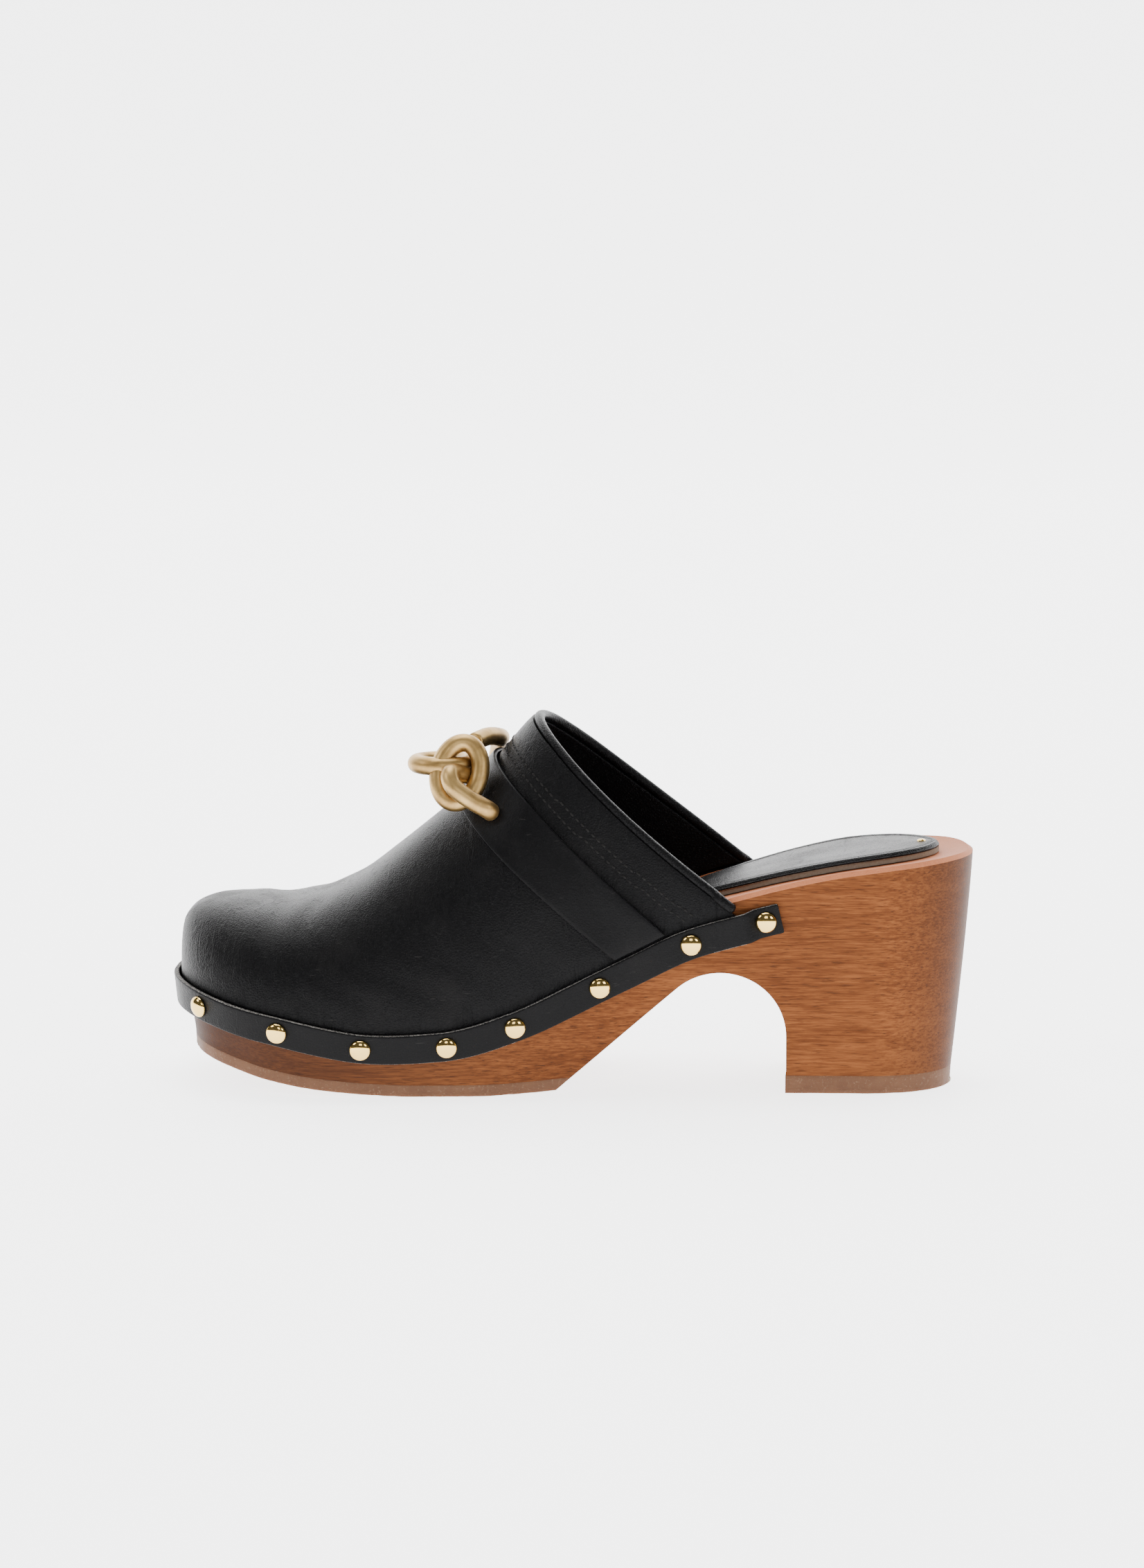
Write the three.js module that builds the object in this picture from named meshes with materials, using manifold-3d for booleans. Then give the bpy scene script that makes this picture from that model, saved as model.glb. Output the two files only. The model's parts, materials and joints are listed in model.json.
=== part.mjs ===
// A left wooden clog: wooden sole with a block heel, leather upper held by a studded rand strap,
// and a gold link ornament on an instep band. Millimetres, +Z up, toe towards -X, heel towards +X,
// lateral side towards -Y. The origin is the middle of the heel's ground face.
import * as THREE from 'three';
import { mergeVertices } from 'three/addons/utils/BufferGeometryUtils.js';
import Module from 'manifold-3d';

const wasm = await Module();
wasm.setup();

// Sole
const soleLength = 236.3;
const heelBack = 30.2; // back edge of the top rim, from the middle of the heel's ground face
const heelHeight = 71.5;
const ballHeight = 19.8;
const foreRise = 4.4; // how far the forefoot's rim stands above the heel's line
const toeRise = 7.9; // how far the rim climbs again at the toe
const toeRocker = 10.8; // how far the outsole's ground face lifts at the toe
const ballLateral = 42.2;
const ballMedial = 46;
const waistLateral = 31.5;
const waistMedial = 29;
const heelHalfWidth = 30;
const toeRoundness = 2.3;
const heelRoundness = 2.2;
const forefootInset = 4.5; // how far the side wall leans in at the bottom
const toeInset = 2.2;
const heelInset = 6;
const rimChamfer = 1.5;
const insoleDish = 2;
const outsoleThickness = 3.5;
const topPieceThickness = 5.4;
const heelBreast = -24.9; // front wall of the heel
const archRadius = 19.6;
const archTop = 37.1;
const rampAngle = 0.712; // slope of the arch behind the forefoot, in radians

// Upper
const toeBoxHeight = 28.9;
const instepRise = 74.6;
const leather = 1.4;
const liningLeather = 1.1;
const puffThickness = 0.9;
const bandLeather = 1.4;
const medialSetback = 5; // the medial topline ends this much further back
const lateralSweep = 3.6; // how far the lateral topline dips towards the toe
const collarRadius = 1.5;
const facingShare = 0.86; // where the lining ends and the facing begins
const puffShare = 0.36; // where the toe puff ends

// Rand strap and studs
const strapWidth = 9;
const strapThickness = 1.5;
const strapDropHeel = 9.6; // the strap's centre line under the rim
const strapDropToe = 4;
const strapEndShare = 0.24;
const liftStart = 3.4; // the strap lifts on to the leather from this far behind the leather's corner
const liftRamp = 2.4;
const studShares = [0.2586, 0.3525, 0.468, 0.5734, 0.6572, 0.7639, 0.8654, 0.9619];
const studRadius = 3.2;
const studHeight = 2;
const shankRadius = 0.8;
const shankLength = 9;
const nailHeadHeight = 0.8;

// Heel sock
const sockHalfWidth = 22;
const sockBack = 20;
const sockRound = 30; // length of its rounded back
const sockFront = -84;
const sockThickness = 1.2;
const foamThickness = 1.6;
const foamInset = 1.5;
const nailRadius = 1.5;
const nailPlace = 14.7;

// Ornament
const tubeRadius = 2.75;
const ringHalfWidth = 6.1; // to the tube's centre line
const ringHalfHeight = 9.2;
const ringLean = 0.2; // the ring's top leans towards the heel
const ringTilt = 0.38; // and back over the instep
const crossHalfLength = 7.6;
const crossHalfDepth = 6.2;
const crestShare = 0.825; // the ornament's offsets start over the band's crest, here
const ringOffset = [0, -20.6, 1.9];
const crossOffset = [2, 0, 1.8]; // from the ring's centre to the level link's rear and near sides
const nearOffsets = [[4.1, -29.6, -4.9], [-1.3, -28.4, -0.9], [-2.3, -25.6, 2.3], [1.5, -19.5, 1.2],
  [3.9, -15.5, 0.4]];
const farOffsets = [[9.4, 17.5, 5.8], [9.8, 7.5, 8.5], [7, -1, 9.9], [3.5, -8, 9.3]];
const footRise = 2.5; // a foot's straight length before its first bend
const screwReach = 3.5;
const screwRadius = 1.2;
const screwLength = 8;
const washerRadius = 3.6;
const washerThickness = 0.8;

const gap = 0.3; // clearance between pieces that touch
const sheetGap = 0.6; // the same between curved sheets of leather
const tiny = 1e-3;
const pinSides = 10; // facets round a nail, stud or screw

// ---- curves ----

// Smooth curve through the points that never overshoots them; it is level at both ends.
function through(points) {
  const count = points.length;
  const slope = points.map(() => 0);
  for (let i = 1; i < count - 1; i += 1) {
    const before = (points[i][1] - points[i - 1][1]) / (points[i][0] - points[i - 1][0]);
    const after = (points[i + 1][1] - points[i][1]) / (points[i + 1][0] - points[i][0]);
    if (before * after > 0) slope[i] = (2 * before * after) / (before + after);
  }
  return (x) => {
    if (x <= points[0][0]) return points[0][1];
    if (x >= points[count - 1][0]) return points[count - 1][1];
    const i = points.findIndex((point) => point[0] > x) - 1;
    const width = points[i + 1][0] - points[i][0];
    const t = (x - points[i][0]) / width;
    const rise = points[i + 1][1] - points[i][1];
    const ease = t * t * (3 - 2 * t);
    return points[i][1] + rise * ease + width * t * (1 - t) * (slope[i] * (1 - t) - slope[i + 1] * t);
  };
}

const mix = THREE.MathUtils.lerp;
const clamp = THREE.MathUtils.clamp;
const smooth = THREE.MathUtils.smoothstep;

// Share of the sole's length, 0 at the heel's back edge and 1 at the toe's tip.
const share = (x) => (heelBack - x) / soleLength;
const place = (part) => heelBack - part * soleLength;
const toeTip = place(1);
const ballX = place(0.795);
const heelX = place(0.146);

const riseShape = through([[0, 1], [0.078, 0.975], [0.15, 0.935], [0.223, 0.87], [0.287, 0.796],
  [0.354, 0.706], [0.428, 0.55], [0.505, 0.38], [0.577, 0.22], [0.667, 0.07], [0.78, 0]]);
const toeShape = through([[0.76, 0], [0.885, 0.3], [1, 1], [1.1, 1.8]]);
// Height of the line that the upper's ridge is set out from, and of the sole's top rim.
function baseLine(x) {
  return ballHeight + (heelHeight - ballHeight) * riseShape(share(x)) + toeRise * toeShape(share(x));
}
const rim = (x) => baseLine(x) + foreRise * smooth(share(x), 0.5, 0.95);

const rockerShape = through([[0.5, 0.16], [0.547, 0.08], [0.62, 0], [0.7, 0], [0.744, 0.035],
  [0.812, 0.15], [0.885, 0.38], [0.949, 0.71], [1, 1], [1.05, 1.3]]);
const outsoleBottom = (x) => toeRocker * rockerShape(share(x));
function woodBottom(x) {
  const blend = smooth(share(x), 0.3, 0.5);
  return mix(topPieceThickness, outsoleBottom(x) + outsoleThickness, blend);
}

const widthLine = (ball, behindBall, waist, toWaist, toHeel) => through([[ballX, ball],
  [place(0.636), behindBall * ball], [place(0.509), mix(waist, ball, toWaist)], [place(0.382), waist],
  [place(0.255), mix(waist, heelHalfWidth, toHeel)], [heelX, heelHalfWidth]]);
const lateralWidth = widthLine(ballLateral, 0.945, waistLateral, 0.35, 0.5);
const medialWidth = widthLine(ballMedial, 0.88, waistMedial, 0.2, 0.4);

// Half width of the top rim; side is -1 on the lateral side and 1 on the medial side.
function halfWidth(x, side) {
  const widthAt = side < 0 ? lateralWidth : medialWidth;
  if (x < ballX) {
    const reach = clamp((ballX - x) / (ballX - toeTip), 0, 1);
    return widthAt(ballX) * (1 - reach ** toeRoundness) ** (1 / toeRoundness);
  }
  if (x > heelX) {
    const reach = clamp((x - heelX) / (heelBack - heelX), 0, 1);
    return heelHalfWidth * (1 - reach ** heelRoundness) ** (1 / heelRoundness);
  }
  return widthAt(x);
}

// Outward direction of the rim's outline, in the ground plane.
function outward(x, side) {
  if (x < toeTip + tiny) return new THREE.Vector3(-1, 0, 0);
  if (x > heelBack - tiny) return new THREE.Vector3(1, 0, 0);
  const step = Math.min(0.2, (x - toeTip) / 2, (heelBack - x) / 2);
  const slope = (halfWidth(x + step, side) - halfWidth(x - step, side)) / (2 * step);
  return new THREE.Vector3(-slope, side, 0).normalize();
}

// A point on the sole's side wall.
function wall(x, side, z) {
  const level = clamp((z - woodBottom(x)) / (rim(x) - woodBottom(x)), 0, 1);
  const front = mix(forefootInset, toeInset, smooth(share(x), 0.92, 1));
  const inset = mix(front, heelInset, smooth(share(x), 0.5, 0.2)) * (1 - level) ** 1.2;
  return new THREE.Vector3(x, side * halfWidth(x, side), z).addScaledVector(outward(x, side), -inset);
}

// Stations from the toe's tip to the heel's back, closer together round both ends.
function soleStations(ends, middle) {
  const list = [];
  for (let i = 0; i <= ends; i += 1) {
    const turn = (Math.PI / 2) * (1 - i / ends);
    list.push(ballX - (ballX - toeTip) * Math.sin(turn) ** (2 / toeRoundness));
  }
  for (let i = 1; i < middle; i += 1) list.push(mix(ballX, heelX, i / middle));
  for (let i = 0; i <= ends; i += 1) {
    const turn = (Math.PI / 2) * (i / ends);
    list.push(heelX + (heelBack - heelX) * Math.sin(turn) ** (2 / heelRoundness));
  }
  return list;
}

// Height of the dished top of the sole at a point of the plan.
function insole(x, y) {
  const half = Math.max(halfWidth(x, y < 0 ? -1 : 1), tiny);
  const spread = 1 - clamp(Math.abs(y) / half, 0, 1) ** 2;
  return rim(x) - insoleDish * spread * Math.min(1, half / heelHalfWidth);
}

const strapCentre = (x) => rim(x) - mix(strapDropToe, strapDropHeel, smooth(-share(x), -0.95, -0.5));
// The leather's lower edge, hidden by the strap; it climbs towards the strap's top at the rear corner.
const vampLow = (x) => strapCentre(x) + mix(1 - strapWidth / 2, 1.5, smooth(-share(x), -0.36, -0.3));

// ---- the upper's own surface, by s from the toe's tip (0) to the topline (1),
// and t from the lateral lower edge (-1) over the ridge (0) to the medial lower edge (1) ----

const lowerShare = through([[0, 1], [0.06, 0.994], [0.13, 0.974], [0.22, 0.932], [0.32, 0.855],
  [0.42, 0.761], [0.52, 0.658], [0.62, 0.565], [0.73, 0.463], [0.84, 0.385], [0.93, 0.326], [1, 0.285],
  [1.08, 0.24]]);
const upperShare = through([[0, 1], [0.06, 0.998], [0.13, 0.985], [0.22, 0.957], [0.32, 0.91], [0.42, 0.85],
  [0.52, 0.791], [0.62, 0.735], [0.73, 0.68], [0.84, 0.618], [0.93, 0.577], [1, 0.5534], [1.08, 0.526]]);
const toeCurve = through([[0.85, 1], [0.9, 1], [0.951, 0.93], [0.981, 0.82], [0.995, 0.69], [1, 0.5],
  [1.01, 0.3]]);
const instepCurve = through([[0.25, 0.44], [0.385, 0.72], [0.449, 0.9], [0.5, 1.02], [0.53, 1.03],
  [0.553, 0.995], [0.607, 0.79], [0.671, 0.585], [0.727, 0.4], [0.782, 0.21], [0.842, 0.06], [0.902, 0]]);

function ridge(x) {
  const part = share(x);
  return baseLine(x) + toeBoxHeight * toeCurve(part) + (instepRise - toeBoxHeight) * instepCurve(part);
}

function upperPoint(s, t) {
  const side = t < 0 ? -1 : 1;
  const climb = Math.sin((Math.PI / 2) * (1 - Math.abs(t)));
  const lowX = place(lowerShare(s)) + (side > 0 ? medialSetback * s ** 3 : 0);
  const topX = place(upperShare(s));
  const dip = side < 0 ? lateralSweep * s ** 3 * Math.sin(Math.PI * climb) : 0;
  const x = mix(lowX, topX, climb) - dip;
  const z = mix(vampLow(lowX), ridge(topX), climb);
  if (z < rim(x)) return wall(x, side, z);
  const power = mix(2.1, 2.7, smooth(share(x), 0.62, 0.85));
  const level = clamp((z - rim(x)) / (ridge(x) - rim(x)), 0, 1);
  return new THREE.Vector3(x, side * halfWidth(x, side) * (1 - level ** power) ** (1 / power), z);
}

function upperNormal(s, t) {
  if (s < tiny) return new THREE.Vector3(-1, 0, 0);
  const step = 0.004;
  const along = upperPoint(s + step, t).sub(upperPoint(s - step, t));
  const over = upperPoint(s, Math.min(t + step, 1)).sub(upperPoint(s, Math.max(t - step, -1)));
  return along.cross(over).normalize();
}

const onUpper = (s, t, lift) => upperPoint(s, t).addScaledVector(upperNormal(s, t), lift);

// The t nearest the lower edge at which the upper's surface is above a height given by x.
function edgeAbove(s, side, height) {
  let low = 0;
  let high = 1;
  for (let i = 0; i < 24; i += 1) {
    const middle = (low + high) / 2;
    const point = upperPoint(s, side * middle);
    if (point.z > height(point.x)) low = middle;
    else high = middle;
  }
  return low;
}

// ---- solids ----

function closedBody(corners) {
  const loose = new THREE.BufferGeometry().setFromPoints(corners);
  const merged = mergeVertices(loose, 1e-4);
  const index = merged.index.array;
  const kept = [];
  for (let i = 0; i < index.length; i += 3) {
    const [a, b, c] = [index[i], index[i + 1], index[i + 2]];
    if (a !== b && b !== c && c !== a) kept.push(a, b, c);
  }
  const at = (i) => new THREE.Vector3().fromBufferAttribute(merged.attributes.position, i);
  let volume = 0;
  for (let i = 0; i < kept.length; i += 3) {
    volume += at(kept[i]).dot(at(kept[i + 1]).cross(at(kept[i + 2])));
  }
  if (volume < 0) kept.reverse();
  merged.setIndex(kept);
  return merged;
}

// Body through equal loops of points. A cap closes an end by joining the loop's two halves.
function loft(loops, { capStart = false, capEnd = false, ring = false } = {}) {
  const corners = [];
  const quad = (a, b, c, d) => corners.push(a, b, c, a, c, d);
  const size = loops[0].length;
  const spans = ring ? loops.length : loops.length - 1;
  for (let i = 0; i < spans; i += 1) {
    const [near, far] = [loops[i], loops[(i + 1) % loops.length]];
    for (let k = 0; k < size; k += 1) quad(near[k], near[(k + 1) % size], far[(k + 1) % size], far[k]);
  }
  for (let k = 0; k < size / 2 - 1; k += 1) {
    const cap = (loop) => [loop[k], loop[k + 1], loop[size - 2 - k], loop[size - 1 - k]];
    if (capEnd) quad(...cap(loops[loops.length - 1]));
    if (capStart) quad(...cap(loops[0]).reverse());
  }
  return closedBody(corners);
}

// A sheet on the upper: from s0 to s1, edge(s, side) down to its lower edges, between two lifts.
function sheet({ from, to, rows, columns, edge, inner, outer }) {
  const loops = [];
  for (let i = 0; i <= rows; i += 1) {
    const s = mix(from, to, i / rows);
    const [lateral, medial] = [edge(s, -1), edge(s, 1)];
    const loop = [];
    for (let k = -columns; k <= columns; k += 1) loop.push((k / columns) * (k < 0 ? lateral : medial));
    const atLift = (lift) => loop.map((t) => onUpper(s, t, lift));
    loops.push([...atLift(outer(s)), ...atLift(inner(s)).reverse()]);
  }
  return loft(loops, { capStart: from > tiny, capEnd: true });
}

function solid(geometry) {
  const bare = new THREE.BufferGeometry();
  bare.setAttribute('position', geometry.attributes.position);
  if (geometry.index) bare.setIndex(geometry.index);
  const merged = mergeVertices(bare, 1e-4);
  return new wasm.Manifold(new wasm.Mesh({
    numProp: 3,
    vertProperties: new Float32Array(merged.attributes.position.array),
    triVerts: new Uint32Array(merged.index.array),
  }));
}

function cut(geometry, cutters) {
  const body = cutters.reduce((rest, cutter) => rest.subtract(solid(cutter)), solid(geometry));
  const { vertProperties, triVerts } = body.getMesh();
  const result = new THREE.BufferGeometry();
  result.setAttribute('position', new THREE.BufferAttribute(new Float32Array(vertProperties), 3));
  result.setIndex(Array.from(triVerts));
  return result;
}

// Cylinder or turned piece standing on a point along a direction.
function stand(geometry, point, direction) {
  const turn = new THREE.Quaternion().setFromUnitVectors(new THREE.Vector3(0, 1, 0), direction);
  return geometry.applyQuaternion(turn).translate(point.x, point.y, point.z);
}

// A straight hole's cutter, reaching from a point both ways along a direction.
function bore(point, direction, radius, reachOut, reachIn) {
  const middle = point.clone().addScaledVector(direction, (reachOut - reachIn) / 2);
  return stand(new THREE.CylinderGeometry(radius, radius, reachOut + reachIn, 8), middle, direction);
}

// Headed pin: a dome over a shank, as one turned piece.
function headedPin(headRadius, headHeight, pinRadius, pinLength, sides) {
  const profile = [new THREE.Vector2(0, -pinLength), new THREE.Vector2(pinRadius, -pinLength),
    new THREE.Vector2(pinRadius, 0)];
  const rings = 3;
  for (let i = 0; i < rings; i += 1) {
    const turn = (Math.PI / 2) * (i / rings);
    profile.push(new THREE.Vector2(headRadius * Math.cos(turn), headHeight * Math.sin(turn)));
  }
  profile.push(new THREE.Vector2(0, headHeight));
  return new THREE.LatheGeometry(profile, sides);
}

// The same geometry with merged corners and its faces turned outwards.
function facingOut(geometry) {
  const flat = geometry.index ? geometry.toNonIndexed() : geometry;
  const position = flat.attributes.position;
  const corner = (_, i) => new THREE.Vector3().fromBufferAttribute(position, i);
  return closedBody(Array.from({ length: position.count }, corner));
}

// Round rod along a list of points.
function rod(points, radius, steps, sides = 10) {
  const circle = new THREE.EllipseCurve(0, 0, radius, radius);
  const section = new THREE.Shape(circle.getPoints(sides).slice(0, sides));
  const extrudePath = new THREE.CatmullRomCurve3(points, false, 'centripetal');
  const settings = { steps, extrudePath, curveSegments: 1, bevelEnabled: false };
  return facingOut(new THREE.ExtrudeGeometry(section, settings));
}

// Closed oval ring of round rod. wide and high are half axes along its own two directions.
function ovalRing(centre, across, up, wide, high, radius, steps = 22, sides = 10) {
  const facing = new THREE.Vector3().crossVectors(across, up);
  const loops = [];
  for (let i = 0; i < steps; i += 1) {
    const turn = (2 * Math.PI * i) / steps;
    const middle = centre.clone().addScaledVector(across, wide * Math.cos(turn))
      .addScaledVector(up, high * Math.sin(turn));
    const out = new THREE.Vector3().addScaledVector(across, high * Math.cos(turn))
      .addScaledVector(up, wide * Math.sin(turn)).normalize();
    loops.push(Array.from({ length: sides }, (_, k) => {
      const spin = (2 * Math.PI * k) / sides;
      return middle.clone().addScaledVector(out, radius * Math.cos(spin))
        .addScaledVector(facing, radius * Math.sin(spin));
    }));
  }
  return loft(loops, { ring: true });
}

// ---- finishes ----

function finish(color, roughness, metalness) {
  return new THREE.MeshStandardMaterial({ color, roughness, metalness });
}
const wood = finish('#9c5c34', 0.55, 0);
const rubber = finish('#a08471', 0.7, 0);
const blackLeather = finish('#121212', 0.45, 0);
const liningFinish = finish('#1a1918', 0.7, 0);
const stiffener = finish('#8d8578', 0.9, 0);
const gold = finish('#b89858', 0.32, 1);
const brass = finish('#d9bd7c', 0.15, 1);
const steel = finish('#9a9a98', 0.35, 1);

const group = new THREE.Group();
function add(name, geometry, material) {
  const piece = new THREE.Mesh(geometry, material);
  piece.name = name;
  group.add(piece);
}

// ---- strap and stud places ----

// The wall's frame on the strap's centre line: its place, the way out of the wall and the way up across it.
function strapFrame(x, side, before, after) {
  const centre = wall(x, side, strapCentre(x));
  const along = after.clone().sub(before).normalize();
  const upward = wall(x, side, strapCentre(x) + 2).sub(wall(x, side, strapCentre(x) - 2));
  const out = new THREE.Vector3().crossVectors(along, upward).normalize();
  if (out.dot(outward(x, side)) < 0) out.negate();
  return { centre, out, across: new THREE.Vector3().crossVectors(out, along).normalize() };
}

// The strap lies on the leather, and on bare wood past the leather's end.
const rearShift = (side) => (side > 0 ? medialSetback : 0);
const strapRear = (side) => place(strapEndShare) + rearShift(side);
const leatherCorner = (side) => place(lowerShare(1)) + rearShift(side);
function strapLift(x, side) {
  return mix(gap, leather + 2 * sheetGap, smooth(leatherCorner(side) + liftStart - x, 0, liftRamp));
}
const strapTop = (x) => strapCentre(x) + strapWidth / 2;

const studs = [];
for (const [sideName, side] of [['lateral', -1], ['medial', 1]]) {
  studShares.forEach((part, i) => {
    const x = place(part) + (i === 0 ? rearShift(side) : 0);
    const centreAt = (place) => wall(place, side, strapCentre(place));
    const { centre, out } = strapFrame(x, side, centreAt(x - 0.4), centreAt(x + 0.4));
    const seat = centre.clone().addScaledVector(out, strapLift(x, side) + strapThickness + gap);
    studs.push({ name: `rand_stud_${sideName}_${i + 1}`, seat, out });
  });
}
const studHoles = studs.map(({ seat, out }) => bore(seat, out, shankRadius + gap, 1, shankLength + 1));

// ---- sole ----

function soleBlank() {
  const levels = [0, 0.25, 0.5, 0.75];
  const spread = [1, 0.5, 0, -0.5, -1];
  return loft(soleStations(8, 16).map((x) => {
    const side = (sign) => {
      const shoulderHeight = rim(x) - rimChamfer;
      const wallPoints = levels.map((level) => wall(x, sign, mix(woodBottom(x), shoulderHeight, level)));
      wallPoints[0].setZ(woodBottom(wallPoints[0].x));
      const shoulder = wall(x, sign, shoulderHeight);
      const lip = wall(x, sign, rim(x)).addScaledVector(outward(x, sign), -rimChamfer);
      lip.z = insole(lip.x, lip.y);
      return [...wallPoints, shoulder, lip];
    };
    const [lateral, medial] = [side(-1), side(1)];
    const [lipA, lipB] = [lateral.at(-1), medial.at(-1)];
    const top = spread.slice(1, -1).map((k) => {
      const point = lipB.clone().lerp(lipA, (k + 1) / 2);
      return point.setZ(insole(point.x, point.y));
    });
    const under = spread.slice(1, -1).map((k) => {
      const point = lateral[0].clone().lerp(medial[0], (1 - k) / 2);
      return point.setZ(woodBottom(point.x));
    });
    return [...lateral, ...top, ...medial.reverse(), ...under.reverse()];
  }));
}

const archCentre = new THREE.Vector2(heelBreast - archRadius, archTop - archRadius);
const cutterReach = 20; // how far the arch's cutter stands out of the sole at the sides
const cutterDrop = 6; // and below the ground
function archCutter() {
  const reach = ballMedial + cutterReach;
  const end = Math.PI / 2 + rampAngle;
  const spoke = new THREE.Vector2(Math.cos(end), Math.sin(end));
  const rampStart = archCentre.clone().addScaledVector(spoke, archRadius);
  const drop = rampStart.y + cutterDrop;
  const shape = new THREE.Shape();
  shape.moveTo(heelBreast, -cutterDrop);
  shape.lineTo(heelBreast, archCentre.y);
  shape.absarc(archCentre.x, archCentre.y, archRadius, 0, end, false);
  shape.lineTo(rampStart.x - drop / Math.tan(rampAngle), -cutterDrop);
  const settings = { depth: 2 * reach, bevelEnabled: false, curveSegments: 14 };
  return new THREE.ExtrudeGeometry(shape, settings).rotateX(Math.PI / 2).translate(0, reach, 0);
}

const upwards = new THREE.Vector3(0, 0, 1);
const sockTop = 3 * gap + foamThickness + sockThickness;
const nailSeat = new THREE.Vector3(nailPlace, 0, insole(nailPlace, 0) + sockTop);
const nailHole = bore(nailSeat, upwards, shankRadius + gap, 2, shankLength + 1);

add('wooden_sole', cut(soleBlank(), [archCutter(), ...studHoles, nailHole]), wood);

function forefootOutsole() {
  const rear = archCentre.x - archRadius * 1.5;
  const stations = soleStations(8, 16).filter((x) => x < rear);
  return loft(stations.map((x) => {
    const [lateral, medial] = [-1, 1].map((side) => wall(x, side, woodBottom(x)));
    const points = [0, 0.25, 0.5, 0.75, 1].map((k) => lateral.clone().lerp(medial, k));
    const top = points.map((point) => point.clone().setZ(outsoleBottom(point.x) + outsoleThickness - gap));
    const bottom = points.map((point) => point.clone().setZ(outsoleBottom(point.x)));
    return [...top, ...bottom.reverse()];
  }), { capEnd: true });
}
add('forefoot_outsole', cut(forefootOutsole(), [archCutter()]), rubber);

function heelTopPiece() {
  const edge = (side) => soleStations(8, 16).map((x) => wall(x, side, topPieceThickness))
    .filter((point) => point.x > heelBreast);
  const corner = (side) => wall(heelBreast, side, topPieceThickness);
  const outline = [corner(-1), ...edge(-1), ...edge(1).reverse().slice(1), corner(1)];
  const shape = new THREE.Shape(outline.map((point) => new THREE.Vector2(point.x, point.y)));
  const settings = { depth: topPieceThickness - gap, bevelEnabled: false };
  return facingOut(new THREE.ExtrudeGeometry(shape, settings));
}
add('heel_top_piece', heelTopPiece(), rubber);

// ---- heel sock ----

function sockHalf(x, inset) {
  const middle = sockBack - sockRound;
  if (x > middle) return (sockHalfWidth - inset) * Math.sqrt(1 - ((x - middle) / sockRound) ** 2);
  return (sockHalfWidth - inset) * (1 - ((middle - x) / (middle - sockFront)) ** 1.6);
}

function sockLayer(lift, thickness, inset) {
  const middle = sockBack - sockRound;
  const stations = [];
  for (let i = 0; i <= 8; i += 1) stations.push(mix(sockFront, middle, i / 8));
  for (let i = 1; i <= 6; i += 1) stations.push(middle + sockRound * Math.sin((Math.PI / 2) * (i / 6)));
  return loft(stations.map((x) => {
    const half = sockHalf(x, inset);
    const across = [-1, -0.5, 0, 0.5, 1].map((k) => k * half);
    const at = (height) => across.map((y) => new THREE.Vector3(x, y, insole(x, y) + height));
    return [...at(lift), ...at(lift + thickness).reverse()];
  }));
}
add('sock_foam', cut(sockLayer(gap, foamThickness, foamInset), [nailHole]), stiffener);
add('heel_sock', cut(sockLayer(foamThickness + 2 * gap, sockThickness, 0), [nailHole]), blackLeather);
const nail = headedPin(nailRadius, nailHeadHeight, shankRadius, shankLength, pinSides);
add('sock_nail', facingOut(stand(nail, nailSeat, upwards)), brass);

// ---- upper ----

const vampOuter = sheetGap + leather;
const bandInner = vampOuter + sheetGap;
const bandOuter = bandInner + bandLeather;
const liningTop = (s) => -mix(puffThickness + sheetGap, 0, smooth(s, puffShare, puffShare + 0.08));
const liningBottom = (s) => liningTop(s) - liningLeather;
const aboveRim = (s, side) => edgeAbove(s, side, (x) => rim(x) + 2 * gap);
const seamGap = 0.004; // share of the upper left open between the lining and the facing

// Near and far anchor feet: their place on the band, and the wall's direction there.
const feet = [{ name: 'near', s: 0.83, t: -0.34, offsets: nearOffsets },
  { name: 'far', s: 0.82, t: 0.3, offsets: farOffsets }];
for (const foot of feet) {
  foot.out = upperNormal(foot.s, foot.t);
  foot.seat = onUpper(foot.s, foot.t, bandOuter + gap);
}
const footHoles = feet.map(({ seat, out }) => bore(seat, out, screwRadius + gap, 0.2, 8));

const vampHoles = [...studHoles, ...footHoles];
add('vamp_upper', cut(sheet({ from: 0, to: 1, rows: 22, columns: 9, edge: () => 1,
  inner: () => sheetGap, outer: () => vampOuter }), vampHoles), blackLeather);
add('toe_puff', sheet({ from: 0.05, to: puffShare, rows: 8, columns: 6, edge: aboveRim,
  inner: () => -puffThickness, outer: () => 0 }), stiffener);
add('vamp_lining', cut(sheet({ from: 0.07, to: facingShare - seamGap, rows: 17, columns: 9, edge: aboveRim,
  inner: liningBottom, outer: liningTop }), footHoles), liningFinish);
add('collar_facing', cut(sheet({ from: facingShare + seamGap, to: 1 - seamGap, rows: 5, columns: 8,
  edge: aboveRim, inner: liningBottom, outer: liningTop }), footHoles), blackLeather);

const bandFrom = 0.79;
const bandTo = 0.888;
const bandClear = 1.5; // the band's ends stop this far above the strap
const bandEdge = (s, side) => edgeAbove(s, side, (x) => strapTop(x) + bandClear);
add('instep_band', cut(sheet({ from: bandFrom, to: bandTo, rows: 4, columns: 9, edge: bandEdge,
  inner: () => bandInner, outer: () => bandOuter }), footHoles), blackLeather);

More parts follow.
